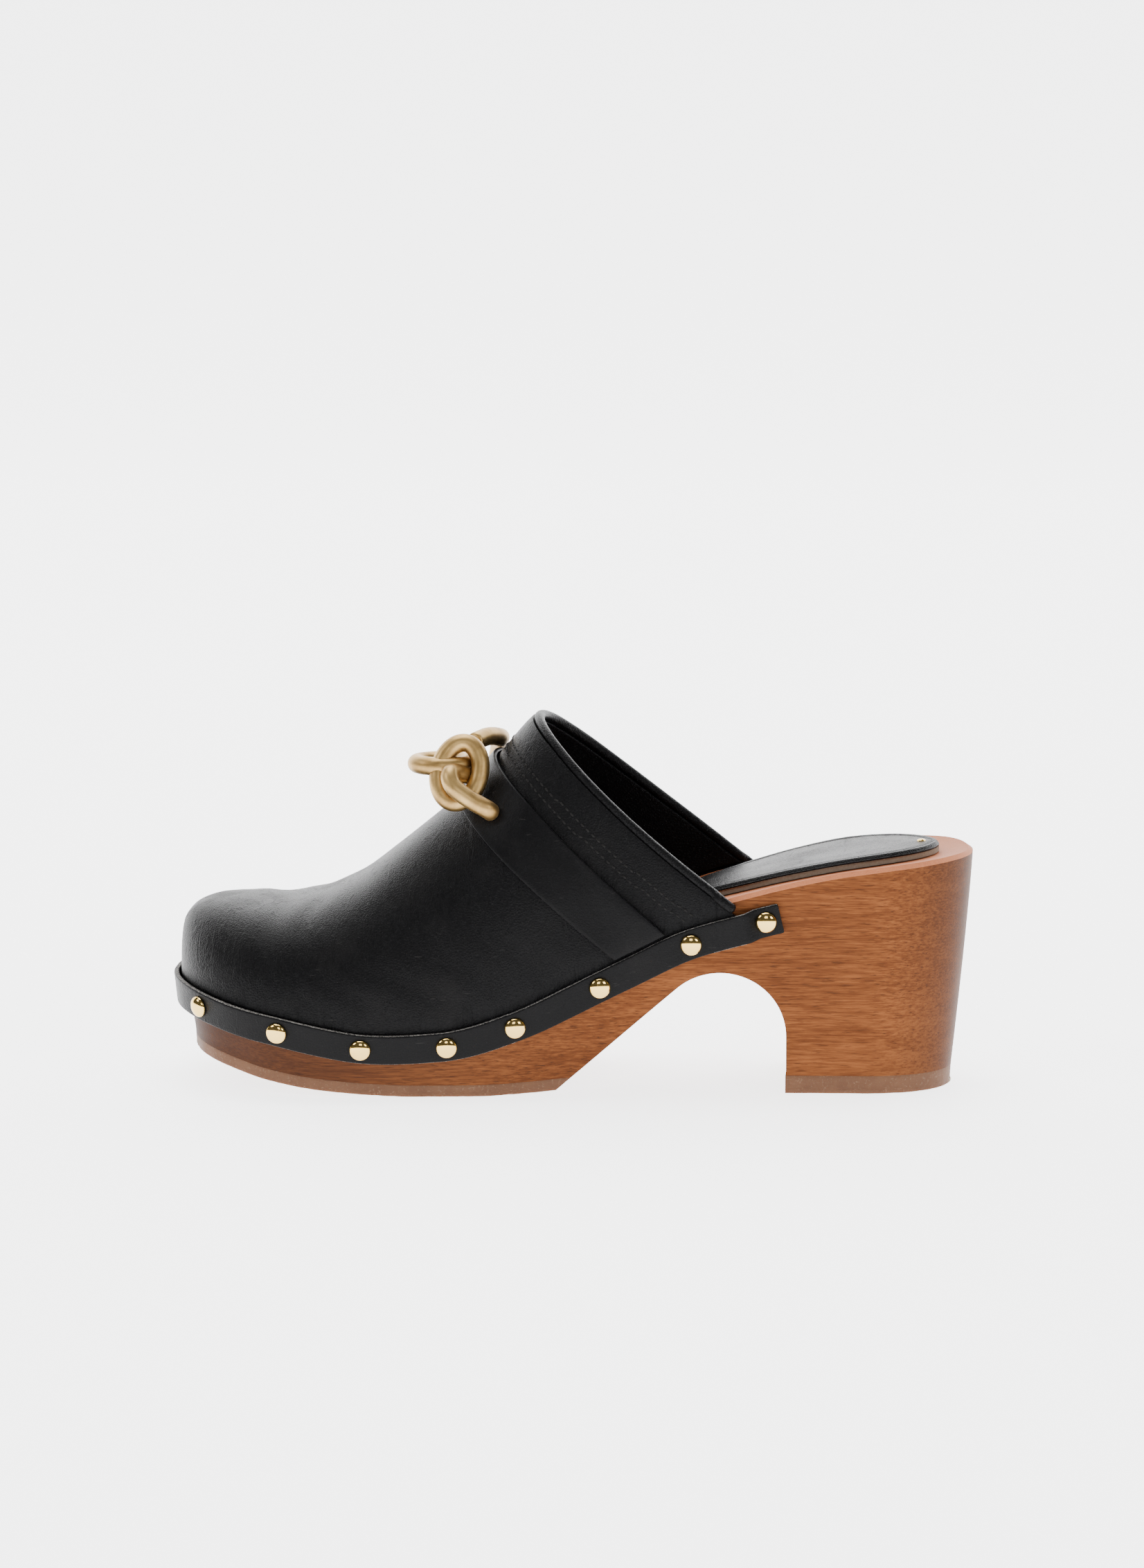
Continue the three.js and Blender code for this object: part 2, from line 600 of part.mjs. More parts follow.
// Rolled binding over the topline's edge. It moves out on to the sole's wall below the rim and ends over the strap.
function collarBinding() {
  const steps = 20;
  const clear = (x) => strapTop(x) + collarRadius + sheetGap;
  const [lateral, medial] = [-edgeAbove(1, -1, clear), edgeAbove(1, 1, clear)];
  const points = [];
  for (let i = 0; i <= steps; i += 1) {
    const t = mix(lateral, medial, i / steps);
    const edge = upperPoint(1, t);
    const past = upperPoint(1.01, t).sub(upperPoint(0.99, t)).normalize();
    const onWall = smooth(rim(edge.x) + 2 * collarRadius - edge.z, 0, 2 * collarRadius);
    const lift = mix((leather - liningLeather) / 2, collarRadius + sheetGap, onWall);
    points.push(onUpper(1, t, lift).addScaledVector(past, collarRadius + sheetGap));
  }
  return rod(points, collarRadius, 36, 8);
}
add('collar_binding', collarBinding(), blackLeather);

// ---- rand strap ----

function randStrap() {
  const rear = (side) => [strapRear(side), strapRear(side) - 4,
    ...[liftStart, liftStart - liftRamp / 2, liftStart - liftRamp, -liftStart]
      .map((past) => leatherCorner(side) + past)];
  const stations = (side) => [...rear(side),
    ...soleStations(9, 18).reverse().filter((x) => x < rear(side).at(-1) - 2)];
  const path = [...stations(-1).map((x) => [x, -1]),
    ...stations(1).slice(0, -1).reverse().map((x) => [x, 1])];
  const centres = path.map(([x, side]) => wall(x, side, strapCentre(x)));
  const last = path.length - 1;
  return loft(path.map(([x, side], i) => {
    const [before, after] = [centres[Math.max(i - 1, 0)], centres[Math.min(i + 1, last)]];
    const { centre, out, across } = strapFrame(x, side, before, after);
    const corner = (rise, lift) => centre.clone().addScaledVector(across, (rise * strapWidth) / 2)
      .addScaledVector(out, lift);
    const [low, high] = [strapLift(x, side), strapLift(x, side) + strapThickness];
    const rises = [-1, 0, 1];
    const atLift = (lift) => rises.map((rise) => corner(rise, lift));
    return [...atLift(low), ...atLift(high).reverse()];
  }), { capStart: true, capEnd: true });
}
add('rand_strap', cut(randStrap(), studHoles), blackLeather);
for (const { name, seat, out } of studs) {
  const stud = headedPin(studRadius, studHeight, shankRadius, shankLength, pinSides);
  add(name, facingOut(stand(stud, seat, out)), brass);
}

// ---- ornament ----

const ringTurn = new THREE.Euler(-ringTilt, ringLean, 0, 'XYZ');
const ringAcross = new THREE.Vector3(1, 0, 0).applyEuler(ringTurn);
const ringUp = new THREE.Vector3(0, 0, 1).applyEuler(ringTurn);
const crest = onUpper(crestShare, 0, bandOuter + tubeRadius);
const overCrest = (offset) => crest.clone().add(new THREE.Vector3(...offset));
const ringCentre = overCrest(ringOffset);
function ringLink(radius) {
  return ovalRing(ringCentre, ringAcross, ringUp, ringHalfWidth, ringHalfHeight, radius);
}
add('ring_link', ringLink(tubeRadius), gold);

const crossCentre = ringCentre.clone().add(new THREE.Vector3(...crossOffset))
  .add(new THREE.Vector3(-crossHalfLength, crossHalfDepth, 0));
const crossLink = (radius) => ovalRing(crossCentre, new THREE.Vector3(1, 0, 0), new THREE.Vector3(0, 1, 0),
  crossHalfLength, crossHalfDepth, radius);
add('cross_link', cut(crossLink(tubeRadius), [ringLink(tubeRadius + gap)]), gold);

// A link that stands on its foot along the band's outward direction and then follows its bends.
const ringAndCross = [ringLink(tubeRadius + gap), crossLink(tubeRadius + gap)];
for (const { name, seat, out, offsets } of feet) {
  const points = [seat, seat.clone().addScaledVector(out, footRise), ...offsets.map(overCrest)];
  const hole = bore(seat, out, screwRadius + gap, screwReach, 1);
  add(`${name}_anchor_link`, cut(rod(points, tubeRadius, 18), [hole, ...ringAndCross]), gold);
}

// Each foot is held by a screw and a washer from inside.
for (const { name, s, t, out } of feet) {
  const washerSeat = onUpper(s, t, -liningLeather - 2 * sheetGap - washerThickness);
  const [hole, edge] = [screwRadius + gap, washerRadius];
  const ring = [[hole, 0], [edge, 0], [edge, washerThickness], [hole, washerThickness], [hole, 0]];
  const washer = new THREE.LatheGeometry(ring.map(([x, y]) => new THREE.Vector2(x, y)), 12);
  add(`${name}_anchor_washer`, facingOut(stand(washer, washerSeat, out)), steel);
  const headSeat = washerSeat.clone().addScaledVector(out, -gap);
  const screw = headedPin(2 * screwRadius, screwRadius, screwRadius, screwLength, pinSides);
  add(`${name}_anchor_screw`, facingOut(stand(screw, headSeat, out.clone().negate())), steel);
}

export default group;
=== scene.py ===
# Left wooden clog: wood sole, black leather upper, studded rand strap and a gold link ornament.
# Shapes are worked out in millimetres in the frame of the CAD model, and placed in metres.
import json
import math
import random

import bpy
from mathutils import Matrix, Vector, noise

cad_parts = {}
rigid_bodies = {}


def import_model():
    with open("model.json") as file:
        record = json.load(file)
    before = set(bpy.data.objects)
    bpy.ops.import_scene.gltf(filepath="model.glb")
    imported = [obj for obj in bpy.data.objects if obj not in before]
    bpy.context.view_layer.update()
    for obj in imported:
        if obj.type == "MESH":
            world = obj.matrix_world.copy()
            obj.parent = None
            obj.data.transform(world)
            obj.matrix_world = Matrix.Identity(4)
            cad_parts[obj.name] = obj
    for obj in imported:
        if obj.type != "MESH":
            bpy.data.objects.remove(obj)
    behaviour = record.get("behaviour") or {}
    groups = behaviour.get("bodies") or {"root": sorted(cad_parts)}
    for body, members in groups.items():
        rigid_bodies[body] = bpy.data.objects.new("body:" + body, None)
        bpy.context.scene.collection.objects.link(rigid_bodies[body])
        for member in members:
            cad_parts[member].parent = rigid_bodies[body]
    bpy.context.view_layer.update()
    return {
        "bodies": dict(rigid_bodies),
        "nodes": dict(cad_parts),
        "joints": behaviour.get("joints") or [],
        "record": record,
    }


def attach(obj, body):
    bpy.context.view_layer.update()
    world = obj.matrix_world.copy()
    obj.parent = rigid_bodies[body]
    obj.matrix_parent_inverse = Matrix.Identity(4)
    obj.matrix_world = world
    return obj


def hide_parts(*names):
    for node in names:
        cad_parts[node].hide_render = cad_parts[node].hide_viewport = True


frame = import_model()
mm = 0.001
random.seed(7)

print("frame loaded")

# ---- shapes shared by the pieces ----

sole = {
    "length": 236.3, "heelBack": 30.2, "heelHeight": 71.5, "ballHeight": 19.8, "foreRise": 4.4,
    "toeRise": 7.9, "toeRocker": 10.8, "ballLateral": 42.2, "ballMedial": 46, "waistLateral": 31.5,
    "waistMedial": 29, "heelHalf": 30, "toeRound": 2.3, "heelRound": 2.2, "foreInset": 4.5, "toeInset": 2.2,
    "heelInset": 6, "chamfer": 1.5, "dish": 2,
    "outsole": 3.5, "topPiece": 5.4, "breast": -24.9, "archRadius": 19.6, "archTop": 37.1, "rampAngle": 0.712,
}
upper = {
    "toeBox": 28.9, "instep": 74.6, "leather": 1.4, "lining": 1.1, "sheetGap": 0.6, "gap": 0.3, "puff": 0.9,
    "setback": 5, "lateralSweep": 3.6, "facing": 0.86, "seam": 0.004, "puffEnd": 0.36, "bandFrom": 0.79,
    "bandTo": 0.888, "bandLeather": 1.4, "bandClear": 1.5, "collarRadius": 1.5,
}
strap = {
    "width": 9, "thick": 1.5, "dropHeel": 9.6, "dropToe": 4, "end": 0.24, "liftStart": 3.4, "ramp": 2.4,
    "tuck": 1, "rearTuck": 1.5,
    "studs": [0.2586, 0.3525, 0.468, 0.5734, 0.6572, 0.7639, 0.8654, 0.9619],
}


def mix(a, b, t):
    return a + (b - a) * t


def clamp(x, low, high):
    return max(low, min(high, x))


def smooth(x, low, high):
    t = clamp((x - low) / (high - low), 0, 1)
    return t * t * (3 - 2 * t)


def through(points):  # smooth curve through points, level at both ends, never overshooting
    slope = [0] * len(points)
    for i in range(1, len(points) - 1):
        before = (points[i][1] - points[i - 1][1]) / (points[i][0] - points[i - 1][0])
        after = (points[i + 1][1] - points[i][1]) / (points[i + 1][0] - points[i][0])
        if before * after > 0:
            slope[i] = 2 * before * after / (before + after)

    def value(x):
        if x <= points[0][0]:
            return points[0][1]
        if x >= points[-1][0]:
            return points[-1][1]
        i = next(k for k, point in enumerate(points) if point[0] > x) - 1
        width = points[i + 1][0] - points[i][0]
        t = (x - points[i][0]) / width
        rise = points[i + 1][1] - points[i][1]
        bend = width * t * (1 - t) * (slope[i] * (1 - t) - slope[i + 1] * t)
        return points[i][1] + rise * t * t * (3 - 2 * t) + bend
    return value


def share(x):
    return (sole["heelBack"] - x) / sole["length"]


def place(part):
    return sole["heelBack"] - part * sole["length"]


toeTip = place(1)
ballX = place(0.795)
heelX = place(0.146)
riseShape = through([(0, 1), (0.078, 0.975), (0.15, 0.935), (0.223, 0.87), (0.287, 0.796), (0.354, 0.706),
                     (0.428, 0.55), (0.505, 0.38), (0.577, 0.22), (0.667, 0.07), (0.78, 0)])
toeShape = through([(0.76, 0), (0.885, 0.3), (1, 1), (1.1, 1.8)])
rockerShape = through([(0.5, 0.16), (0.547, 0.08), (0.62, 0), (0.7, 0), (0.744, 0.035), (0.812, 0.15),
                       (0.885, 0.38), (0.949, 0.71), (1, 1), (1.05, 1.3)])


def widthLine(ball, behindBall, waist, toWaist, toHeel):
    half = sole["heelHalf"]
    return through([(ballX, ball), (place(0.636), behindBall * ball),
                    (place(0.509), mix(waist, ball, toWaist)), (place(0.382), waist),
                    (place(0.255), mix(waist, half, toHeel)), (heelX, half)])


lateralWidth = widthLine(sole["ballLateral"], 0.945, sole["waistLateral"], 0.35, 0.5)
medialWidth = widthLine(sole["ballMedial"], 0.88, sole["waistMedial"], 0.2, 0.4)
lowerShare = through([(0, 1), (0.06, 0.994), (0.13, 0.974), (0.22, 0.932), (0.32, 0.855), (0.42, 0.761),
                      (0.52, 0.658), (0.62, 0.565), (0.73, 0.463), (0.84, 0.385), (0.93, 0.326), (1, 0.285),
                      (1.08, 0.24)])
upperShare = through([(0, 1), (0.06, 0.998), (0.13, 0.985), (0.22, 0.957), (0.32, 0.91), (0.42, 0.85),
                      (0.52, 0.791), (0.62, 0.735), (0.73, 0.68), (0.84, 0.618), (0.93, 0.577), (1, 0.5534),
                      (1.08, 0.526)])
toeCurve = through([(0.85, 1), (0.9, 1), (0.951, 0.93), (0.981, 0.82), (0.995, 0.69), (1, 0.5), (1.01, 0.3)])
instepCurve = through([(0.25, 0.44), (0.385, 0.72), (0.449, 0.9), (0.5, 1.02), (0.53, 1.03), (0.553, 0.995),
                       (0.607, 0.79), (0.671, 0.585), (0.727, 0.4), (0.782, 0.21), (0.842, 0.06), (0.902, 0)])


def sweep(x):  # the last's line that the upper follows
    rise = (sole["heelHeight"] - sole["ballHeight"]) * riseShape(share(x))
    return sole["ballHeight"] + rise + sole["toeRise"] * toeShape(share(x))


def rim(x):
    return sweep(x) + sole["foreRise"] * smooth(share(x), 0.5, 0.95)


def outsoleBottom(x):
    return sole["toeRocker"] * rockerShape(share(x))


def woodBottom(x):
    return mix(sole["topPiece"], outsoleBottom(x) + sole["outsole"], smooth(share(x), 0.3, 0.5))


def halfWidth(x, side):
    widthAt = lateralWidth if side < 0 else medialWidth
    if x < ballX:
        reach = clamp((ballX - x) / (ballX - toeTip), 0, 1)
        return widthAt(ballX) * (1 - reach ** sole["toeRound"]) ** (1 / sole["toeRound"])
    if x > heelX:
        reach = clamp((x - heelX) / (sole["heelBack"] - heelX), 0, 1)
        return sole["heelHalf"] * (1 - reach ** sole["heelRound"]) ** (1 / sole["heelRound"])
    return widthAt(x)


def outward(x, side):
    if x < toeTip + 0.001:
        return Vector((-1, 0, 0))
    if x > sole["heelBack"] - 0.001:
        return Vector((1, 0, 0))
    step = min(0.2, (x - toeTip) / 2, (sole["heelBack"] - x) / 2)
    slope = (halfWidth(x + step, side) - halfWidth(x - step, side)) / (2 * step)
    return Vector((-slope, side, 0)).normalized()


def wall(x, side, z):  # the sole's side wall
    level = clamp((z - woodBottom(x)) / (rim(x) - woodBottom(x)), 0, 1)
    front = mix(sole["foreInset"], sole["toeInset"], smooth(share(x), 0.92, 1))
    inset = mix(front, sole["heelInset"], 1 - smooth(share(x), 0.2, 0.5)) * (1 - level) ** 1.2
    return Vector((x, side * halfWidth(x, side), z)) - outward(x, side) * inset


def insole(x, y):
    half = max(halfWidth(x, -1 if y < 0 else 1), 0.001)
    spread = 1 - clamp(abs(y) / half, 0, 1) ** 2
    return rim(x) - sole["dish"] * spread * min(1, half / sole["heelHalf"])


def strapCentre(x):
    return rim(x) - mix(strap["dropHeel"], strap["dropToe"], smooth(share(x), 0.5, 0.95))


def strapTop(x):
    return strapCentre(x) + strap["width"] / 2


def vampLow(x):
    climb = 1 - smooth(share(x), 0.3, 0.36)
    return strapCentre(x) + mix(strap["tuck"] - strap["width"] / 2, strap["rearTuck"], climb)


def ridge(x):
    part = share(x)
    rise = upper["instep"] - upper["toeBox"]
    return sweep(x) + upper["toeBox"] * toeCurve(part) + rise * instepCurve(part)


def upperPoint(s, t):  # s: 0 at the toe's tip, 1 at the topline; t: -1 lateral edge, 0 ridge, 1 medial edge
    side = -1 if t < 0 else 1
    climb = math.sin(math.pi / 2 * (1 - abs(t)))
    lowX = place(lowerShare(s)) + (upper["setback"] * s ** 3 if side > 0 else 0)
    topX = place(upperShare(s))
    x = mix(lowX, topX, climb)
    z = mix(vampLow(lowX), ridge(topX), climb)
    if side < 0:
        x -= upper["lateralSweep"] * s ** 3 * math.sin(math.pi * climb)
    if z < rim(x):
        return wall(x, side, z)
    power = mix(2.1, 2.7, smooth(share(x), 0.62, 0.85))
    level = clamp((z - rim(x)) / (ridge(x) - rim(x)), 0, 1)
    return Vector((x, side * halfWidth(x, side) * (1 - level ** power) ** (1 / power), z))


def upperNormal(s, t):
    if s < 0.001:
        return Vector((-1, 0, 0))
    step = 0.004
    along = upperPoint(s + step, t) - upperPoint(max(s - step, 0), t)
    over = upperPoint(s, min(t + step, 1)) - upperPoint(s, max(t - step, -1))
    return along.cross(over).normalized()


def onUpper(s, t, lift):
    return upperPoint(s, t) + upperNormal(s, t) * lift


def edgeAbove(s, side, height):
    low, high = 0.0, 1.0
    for _ in range(20):
        middle = (low + high) / 2
        point = upperPoint(s, side * middle)
        if point.z > height(point.x):
            low = middle
        else:
            high = middle
    return low


def rearShift(side):
    return upper["setback"] if side > 0 else 0


def strapLift(x, side):
    corner = place(lowerShare(1)) + rearShift(side)
    lifted = smooth(corner + strap["liftStart"] - x, 0, strap["ramp"])
    return mix(upper["gap"], upper["leather"] + 2 * upper["sheetGap"], lifted)


def strapFrame(x, side):
    centre = wall(x, side, strapCentre(x))
    if x < toeTip + 0.001:
        return centre, Vector((-1, 0, 0)), Vector((0, 0, 1))
    near = min(0.3, (x - toeTip) / 2)
    along = wall(x + near, side, strapCentre(x + near)) - wall(x - near, side, strapCentre(x - near))
    upward = wall(x, side, strapCentre(x) + 2) - wall(x, side, strapCentre(x) - 2)
    out = along.cross(upward).normalized()
    if out.dot(outward(x, side)) < 0:
        out = -out
    across = out.cross(along).normalized()
    return centre, out, across if across.z > 0 else -across


# ---- making pieces ----

def pick(rows, part):
    return rows[round(part * (len(rows) - 1))]


def deselectAll():
    if bpy.context.mode != "OBJECT":
        bpy.ops.object.mode_set(mode="OBJECT")
    bpy.ops.object.select_all(action="DESELECT")


def workOn(piece):
    deselectAll()
    piece.select_set(True)
    bpy.context.view_layer.objects.active = piece


def closeUp(piece, distance):  # seams merged, faces turned outwards
    workOn(piece)
    bpy.ops.object.mode_set(mode="EDIT")
    bpy.ops.mesh.select_all(action="SELECT")
    bpy.ops.mesh.remove_doubles(threshold=distance)
    bpy.ops.mesh.dissolve_degenerate(threshold=0.000001)
    bpy.ops.mesh.normals_make_consistent(inside=False)
    bpy.ops.object.mode_set(mode="OBJECT")


def closeEnds(piece, fillIn):
    workOn(piece)
    bpy.ops.object.mode_set(mode="EDIT")
    bpy.ops.mesh.select_all(action="DESELECT")
    bpy.ops.mesh.select_non_manifold(extend=False)
    fillIn()
    bpy.ops.mesh.select_all(action="SELECT")
    bpy.ops.mesh.normals_make_consistent(inside=False)
    bpy.ops.object.mode_set(mode="OBJECT")


def gridPiece(name, rows, columns, where, ring=False, merge=0.00001):
    # a primitive grid whose points are placed by where(row, column) in millimetres;
    # with ring=True the last column meets the first
    deselectAll()
    bpy.ops.mesh.primitive_grid_add(x_subdivisions=columns, y_subdivisions=rows, size=1)
    piece = bpy.context.active_object
    piece.name = name
    points = {}
    for vertex in piece.data.vertices:
        column = round((vertex.co.x + 0.5) * columns)
        row = round((vertex.co.y + 0.5) * rows)
        turn = column % columns if ring else column
        if (row, turn) not in points:
            points[(row, turn)] = where(row / rows, turn / columns) * mm
        vertex.co = points[(row, turn)]
    closeUp(piece, merge)
    return piece


def finishWith(piece, kind, **settings):
    workOn(piece)
    modifier = piece.modifiers.new(kind.title(), kind)
    for key, value in settings.items():
        setattr(modifier, key, value)
    bpy.ops.object.modifier_apply(modifier=modifier.name)


def roundEdges(piece, width, angle):
    finishWith(piece, "BEVEL", width=width * mm, segments=2, limit_method="ANGLE",
               angle_limit=math.radians(angle))


def smoothShade(piece, angle=40):
    workOn(piece)
    bpy.ops.object.shade_smooth_by_angle(angle=math.radians(angle))


def settle(piece, node, slot, *materials):
    for material in materials:
        piece.data.materials.append(material)
    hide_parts(node)
    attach(piece, "root")
    return piece


def stations(ends, middle, start=toeTip, finish=sole["heelBack"]):  # closer together round both ends
    places = []
    for i in range(ends + 1):
        turn = math.pi / 2 * (1 - i / ends)
        places.append(ballX - (ballX - toeTip) * math.sin(turn) ** (2 / sole["toeRound"]))
    places += [mix(ballX, heelX, i / middle) for i in range(1, middle)]
    for i in range(ends + 1):
        turn = math.pi / 2 * (i / ends)
        places.append(heelX + (sole["heelBack"] - heelX) * math.sin(turn) ** (2 / sole["heelRound"]))
    return [x for x in places if start - 0.001 <= x <= finish + 0.001]


# ---- materials ----

class Sock:  # a shader socket that sums can be written with
    def __init__(self, tree, socket):
        self.tree = tree
        self.socket = socket

    def work(self, operation, *values):
        node = self.tree.nodes.new("ShaderNodeMath")
        node.operation = operation
        for i, value in enumerate(values):
            feed(self.tree, node.inputs[i], value)
        return Sock(self.tree, node.outputs[0])

    def __add__(self, other):
        return self.work("ADD", self, other)

    def __rsub__(self, other):
        return self.work("SUBTRACT", other, self)

    def __mul__(self, other):
        return self.work("MULTIPLY", self, other)

    def above(self, low, high):  # 0 below low, 1 above high
        node = self.tree.nodes.new("ShaderNodeMapRange")
        node.interpolation_type = "SMOOTHSTEP"
        feed(self.tree, node.inputs["Value"], self)
        node.inputs["From Min"].default_value = low
        node.inputs["From Max"].default_value = high
        return Sock(self.tree, node.outputs[0])


def feed(tree, target, value):
    if isinstance(value, Sock):
        tree.links.new(value.socket, target)
    else:
        target.default_value = value


class Finish:  # a material on one Principled shader
    def __init__(self, name, **fixed):
        self.material = bpy.data.materials.new(name)
        self.material.use_nodes = True
        self.tree = self.material.node_tree
        self.shader = self.tree.nodes["Principled BSDF"]
        for key, value in fixed.items():
            self.shader.inputs[key.replace("_", " ")].default_value = value
        self.coords = self.make("ShaderNodeTexCoord", "Object")

    def make(self, kind, output=0, settings=None, **values):
        node = self.tree.nodes.new(kind)
        for key, value in (settings or {}).items():
            setattr(node, key, value)
        for key, value in values.items():
            feed(self.tree, node.inputs[key.replace("_", " ")], value)
        return Sock(self.tree, node.outputs[output])

    def stretched(self, size, stretch=(1, 1, 1)):
        return self.make("ShaderNodeMapping", Vector=self.coords, Scale=[k / (size * mm) for k in stretch])

    def noise(self, size, detail=3, rough=0.5, stretch=(1, 1, 1), warp=0.0):
        return self.make("ShaderNodeTexNoise", "Fac", Vector=self.stretched(size, stretch), Scale=1.0,
                         Detail=detail, Roughness=rough, Distortion=warp)

    def cells(self, size):
        return self.make("ShaderNodeTexVoronoi", "Distance", {"feature": "DISTANCE_TO_EDGE"},
                         Vector=self.stretched(size), Scale=1.0)

    def axis(self, name):
        return self.make("ShaderNodeSeparateXYZ", name, Vector=self.coords)

    def colours(self, fac, a, b):
        node = self.tree.nodes.new("ShaderNodeMix")
        node.data_type = "RGBA"
        feed(self.tree, node.inputs[0], fac)
        feed(self.tree, node.inputs[6], a if isinstance(a, Sock) else (*a, 1))
        feed(self.tree, node.inputs[7], b if isinstance(b, Sock) else (*b, 1))
        return Sock(self.tree, node.outputs[2])

    def put(self, target, value):
        feed(self.tree, self.shader.inputs[target], value)

    def bump(self, height, depth, strength=1.0):
        node = self.make("ShaderNodeBump", "Normal", Height=height, Distance=depth * mm, Strength=strength)
        self.put("Normal", node)


def srgb(r, g, b):
    return tuple(((c / 255 + 0.055) / 1.055) ** 2.4 if c > 10 else c / 255 / 12.92 for c in (r, g, b))


# ---- finishes ----

# the near-black brown darkens both the grain's pores and the painted shade at the toe, shank and heel's back
woodLook = {"light": srgb(126, 74, 38), "dark": srgb(84, 43, 16), "poresAndShade": srgb(38, 19, 9)}
leatherLook = {"black": srgb(9, 9, 10), "worn": srgb(22, 21, 21), "scuffed": srgb(84, 82, 80),
               "edge": srgb(150, 146, 140), "grain": 0.75, "sheen": 0.31}
metalLook = {"gold": srgb(184, 152, 98), "goldDark": srgb(138, 108, 64), "brass": srgb(240, 204, 118)}


def woodFinish():
    f = Finish("stainedWood", Specular_IOR_Level=0.08)
    bands = f.noise(6, 4, 0.6, (0.05, 0.35, 1), warp=0.6)
    fibres = f.noise(0.5, 3, 0.65, (0.045, 0.6, 1))
    dashes = f.noise(0.34, 2, 0.5, (0.075, 0.8, 1)).above(0.56, 0.7)
    clouds = f.noise(38, 2, 0.5, (0.6, 1, 1))
    x = f.axis("X")
    # painted shade: the wood is darkened towards the toe, over the forefoot and shank, and over the heel's rounded
    # back
    toePaintedShade = 1 - x.above(-0.21, -0.06)
    heelPaintedShade = x.above(0.004, 0.03)
    tone = bands * 0.4 + fibres * 0.75 + clouds * 0.3
    body = f.colours(tone.above(0.54, 0.92), woodLook["dark"], woodLook["light"])
    grained = f.colours(dashes * 0.5, body, woodLook["poresAndShade"])
    # painted shade at the toe and heel, plus darker clouds at random, mixed towards the near-black brown
    paintedShadeAndClouds = toePaintedShade * 0.85 + heelPaintedShade * 0.6 + clouds.above(0.52, 0.75) * 0.18
    f.put("Base Color", f.colours(paintedShadeAndClouds, grained, woodLook["poresAndShade"]))
    f.put("Roughness", fibres * 0.22 + clouds * 0.12 + 0.34)
    f.bump(fibres * 0.6 + (1 - dashes) * 0.5, 0.09, 0.7)
    return f.material


def rimFinish():  # sanded top edge of the wood, paler and pinker
    f = Finish("sandedWood", Specular_IOR_Level=0.16)
    fibres = f.noise(0.45, 4, 0.7, (0.3, 0.9, 1))
    pores = f.noise(0.25, 2, 0.5).above(0.45, 0.7)
    body = f.colours(fibres, srgb(172, 98, 60), srgb(204, 132, 92))
    f.put("Base Color", f.colours(pores * 0.3, body, srgb(140, 74, 42)))
    f.put("Roughness", fibres * 0.2 + 0.5)
    f.bump(fibres * 0.5 + pores * 0.5, 0.08, 0.6)
    return f.material


def rubberFinish():
    f = Finish("crepeRubber", Subsurface_Weight=0.25, Subsurface_Scale=0.004, Specular_IOR_Level=0.15)
    f.shader.inputs["Subsurface Radius"].default_value = (1.0, 0.6, 0.4)
    clouds = f.noise(9, 4, 0.6)
    specks = f.noise(0.8, 3, 0.6).above(0.55, 0.75)
    body = f.colours(clouds, srgb(78, 50, 32), srgb(110, 78, 56))
    f.put("Base Color", f.colours(specks * 0.35, body, srgb(146, 116, 94)))
    f.put("Roughness", clouds * 0.25 + 0.42)
    f.bump(f.noise(1.6, 4, 0.65) + specks * 0.3, 0.25, 0.6)
    return f.material


def leatherFinish(name="blackLeather", grain=1.0, shine=0.0, crease=1.0):
    f = Finish(name, Specular_IOR_Level=0.075)
    pebble = f.cells(leatherLook["grain"]).above(0.0, 0.32)
    fine = f.noise(0.32, 3, 0.6)
    worn = f.noise(16, 4, 0.6).above(0.5, 0.72)
    lines = f.noise(5, 4, 0.7, (1.5, 0.5, 0.35), warp=1.2).above(0.52, 0.66)
    scuffs = f.noise(1.6, 2, 0.5, (0.25, 1, 2.2)).above(0.7, 0.78)
    base = f.colours(worn * 0.35 + fine * 0.2, leatherLook["black"], leatherLook["worn"])
    f.put("Base Color", f.colours(scuffs * 0.12, base, leatherLook["scuffed"]))
    f.put("Roughness", worn * 0.08 + fine * 0.12 + lines * 0.05 + (leatherLook["sheen"] - shine))
    f.bump(pebble * (0.45 * grain) + fine * (0.3 * grain) + lines * (0.8 * crease), 0.2, 0.75)
    return f.material


def rawEdgeFinish():
    f = Finish("rawLeatherEdge")
    fibre = f.noise(0.4, 4, 0.7)
    f.put("Base Color", f.colours(fibre.above(0.4, 0.65), leatherLook["black"], leatherLook["edge"]))
    f.put("Roughness", fibre * 0.2 + 0.65)
    f.bump(fibre, 0.15, 0.7)
    return f.material


def goldFinish():
    f = Finish("satinGold", Metallic=1.0)
    brushed = f.noise(0.16, 3, 0.6, (1, 0.5, 0.16))
    clouds = f.noise(7, 3, 0.6)
    f.put("Base Color", f.colours(clouds.above(0.35, 0.7) * 0.8, metalLook["gold"], metalLook["goldDark"]))
    f.put("Roughness", brushed * 0.16 + clouds * 0.1 + 0.3)
    f.bump(brushed, 0.02, 0.6)
    return f.material


def brassFinish():
    f = Finish("polishedBrass", Metallic=1.0)
    clouds = f.noise(2.2, 3, 0.6)
    pits = f.noise(0.5, 2, 0.5).above(0.68, 0.75)
    f.put("Base Color", f.colours(clouds * 0.4 + pits * 0.3, metalLook["brass"], metalLook["gold"]))
    f.put("Roughness", clouds * 0.08 + pits * 0.15 + 0.06)
    f.bump(clouds, 0.015, 0.4)
    return f.material


def simpleFinish(name, grain, colours, rough, depth=0, **fixed):  # colour, roughness and bump from one noise
    f = Finish(name, **fixed)
    mixed = f.noise(*grain)
    f.put("Base Color", f.colours(mixed, *colours))
    f.put("Roughness", mixed * rough[0] + rough[1])
    if depth:
        f.bump(mixed, depth, 0.6)
    return f.material


